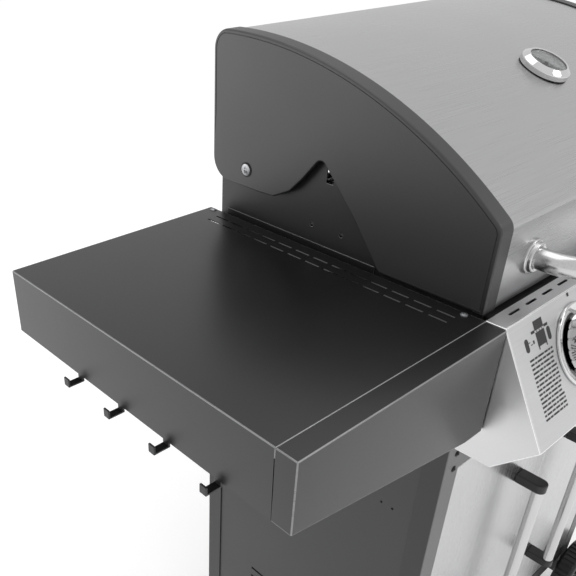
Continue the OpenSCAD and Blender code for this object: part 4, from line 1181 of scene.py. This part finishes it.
# %% Header screws and shelf bolts
SMALL_HEAD = 4.5
header_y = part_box("door_frame")[0].y
low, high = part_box("frame_screws")
small_heads = [
    moved(pan_head(SMALL_HEAD, 2.4, 2.2), facing((x, header_y, z), (0, -1, 0)))
    for x in (low.x + SMALL_HEAD * MM, high.x - SMALL_HEAD * MM)
    for z in (low.z + SMALL_HEAD * MM, high.z - SMALL_HEAD * MM)]
piece(joined("header_screws", small_heads), black_oxide, "frame_screws", sharp=35)

low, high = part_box("shelf_bolts")
small_heads = [
    moved(pan_head(SMALL_HEAD, 2.4, 2.4), facing((x, y, top_z), (0, 0, 1)))
    for x in (low.x + SMALL_HEAD * MM, high.x - SMALL_HEAD * MM)
    for y in (low.y + SMALL_HEAD * MM, high.y - SMALL_HEAD * MM)]
piece(joined("shelf_screws", small_heads), zinc_plate, "shelf_bolts", sharp=35)

# %% [markdown]
# ## Printed marks
# The panel carries a printed label by the left knob. Here it is a plain picture of a grill
# beside its gas bottle, over rows of short bars that stand for lines of print. Each mark is
# a film of ink a tenth of a millimetre thick, so it needs no picture file.

# %% Label
on_label = knob_seat("left")
INK = (0.02, 0.12)


def ink_box(x0, y0, x1, y1):
    """A rectangle of ink on the slanted face, in millimetres from the left knob's axis."""
    return block_mm("ink", (x0, y0, INK[0]), (x1, y1, INK[1]))


def ink_oval(x, y, width, height):
    """A standing bottle shape of ink."""
    half = (height - width) / 2
    outline = arc((x, y + half), width / 2, 0, 180, 10) + arc((x, y - half), width / 2, 180, 360, 10)
    return prism("ink", [(px * MM, py * MM) for px, py in outline], INK[0] * MM, INK[1] * MM, "Z")


marks = [
    ink_box(-84, 46, -65, 57), ink_box(-84, 27, -65, 43.6), ink_box(-92, 44.4, -84.6, 47.6),
    ink_box(-64.4, 44.4, -56, 47.6), ink_box(-83.6, 23.6, -81.6, 27), ink_box(-67.4, 23.6, -65.4, 27),
    ink_oval(-57.4, 35, 7.4, 16), ink_oval(-105.3, 35.6, 7.4, 16), ink_box(-101.4, 37, -98, 38),
    ink_box(-98, 33.4, -94, 34.4), ink_box(-92.4, 33.4, -89.4, 37.4)]
marks += [ink_box(x - 0.9, 43.9, x + 0.9, 45.6) for x in (-80, -74.5, -69)]
LINES = 15
LINE_PITCH = 5.07
LINE_LEFT = -107.5
LINE_RIGHT = -58.0
BARS = (9.0, 5.5, 12.5, 7.0, 4.0, 10.0, 6.5)
for line in range(LINES):
    y = 18.0 - line * LINE_PITCH
    x = LINE_LEFT
    bar = line * 3
    while x < LINE_RIGHT - 2:
        length = min(BARS[bar % len(BARS)], LINE_RIGHT - x)
        marks.append(ink_box(x, y - 1.2, x + length, y + 1.2))
        x += length + 1.5
        bar += 1
piece(moved(joined("panel_label", marks), on_label), printed_ink, body="cart")

# %% Marks beside the knobs
symbols = []
for name in KNOBS:
    offset = (knob_seat(name).translation.x - on_label.translation.x) / MM
    symbols += [ink_box(offset - 2.2, 60, offset + 2.2, 64.4),
                ink_box(offset + 56, -3, offset + 62, -1.4), ink_box(offset + 56, 1.4, offset + 62, 3)]
piece(moved(joined("panel_symbols", symbols), on_label), printed_ink, body="cart")

# %% [markdown]
# ## Floor and light
# The floor is plain and pale and glows a little, as a lit sweep of paper does. The light is
# a studio's: an even white sky and three soft boxes, one overhead, a small strong one at the
# front right, and one low at the back left that lifts the shelf's outer side. Metal shows
# only what it mirrors, so the boxes and the floor are what draws the bands on the steel.

# %% Stage and lights
floor = mesh_object("floor", [(-40, -40, 0), (40, -40, 0), (40, 40, 0), (-40, 40, 0)], [(0, 1, 2, 3)])
pale = bpy.data.materials.new("pale_floor")
pale.use_nodes = True
for socket, value in (("Base Color", linear("F2F2F2")), ("Roughness", 0.9),
                      ("Emission Color", linear("FFFFFF")), ("Emission Strength", 0.30)):
    pale.node_tree.nodes["Principled BSDF"].inputs[socket].default_value = value
floor.data.materials.append(pale)

world = bpy.data.worlds.new("studio")
bpy.context.scene.world = world
world.use_nodes = True
sky = world.node_tree.nodes["Background"]
sky.inputs["Color"].default_value = linear("FFFFFF")
sky.inputs["Strength"].default_value = 0.80


def soft_box(name, place, target, width, height, radiance):
    """A flat lamp that faces its target, as bright to look at as the radiance says."""
    lamp = bpy.data.lights.new(name, "AREA")
    lamp.shape = "RECTANGLE"
    lamp.size = width
    lamp.size_y = height
    lamp.energy = radiance * pi * width * height
    made = bpy.data.objects.new(name, lamp)
    made.location = place
    made.rotation_euler = (Vector(target) - Vector(place)).to_track_quat("-Z", "Y").to_euler()
    bpy.context.scene.collection.objects.link(made)
    return made


soft_box("overhead", (0.1, 0.6, 3.3), (0, 0.1, 0.9), 2.6, 1.4, 1.1)
soft_box("front_right", (1.2, -1.95, 2.8), (-0.4, -0.2, 0.9), 0.9, 0.9, 5.0)
soft_box("back_left", (-2.8, 2.6, 0.95), (-0.3, 0, 0.9), 2.0, 1.8, 1.8)
bpy.context.scene.view_settings.view_transform = "Standard"
print("stage is set")
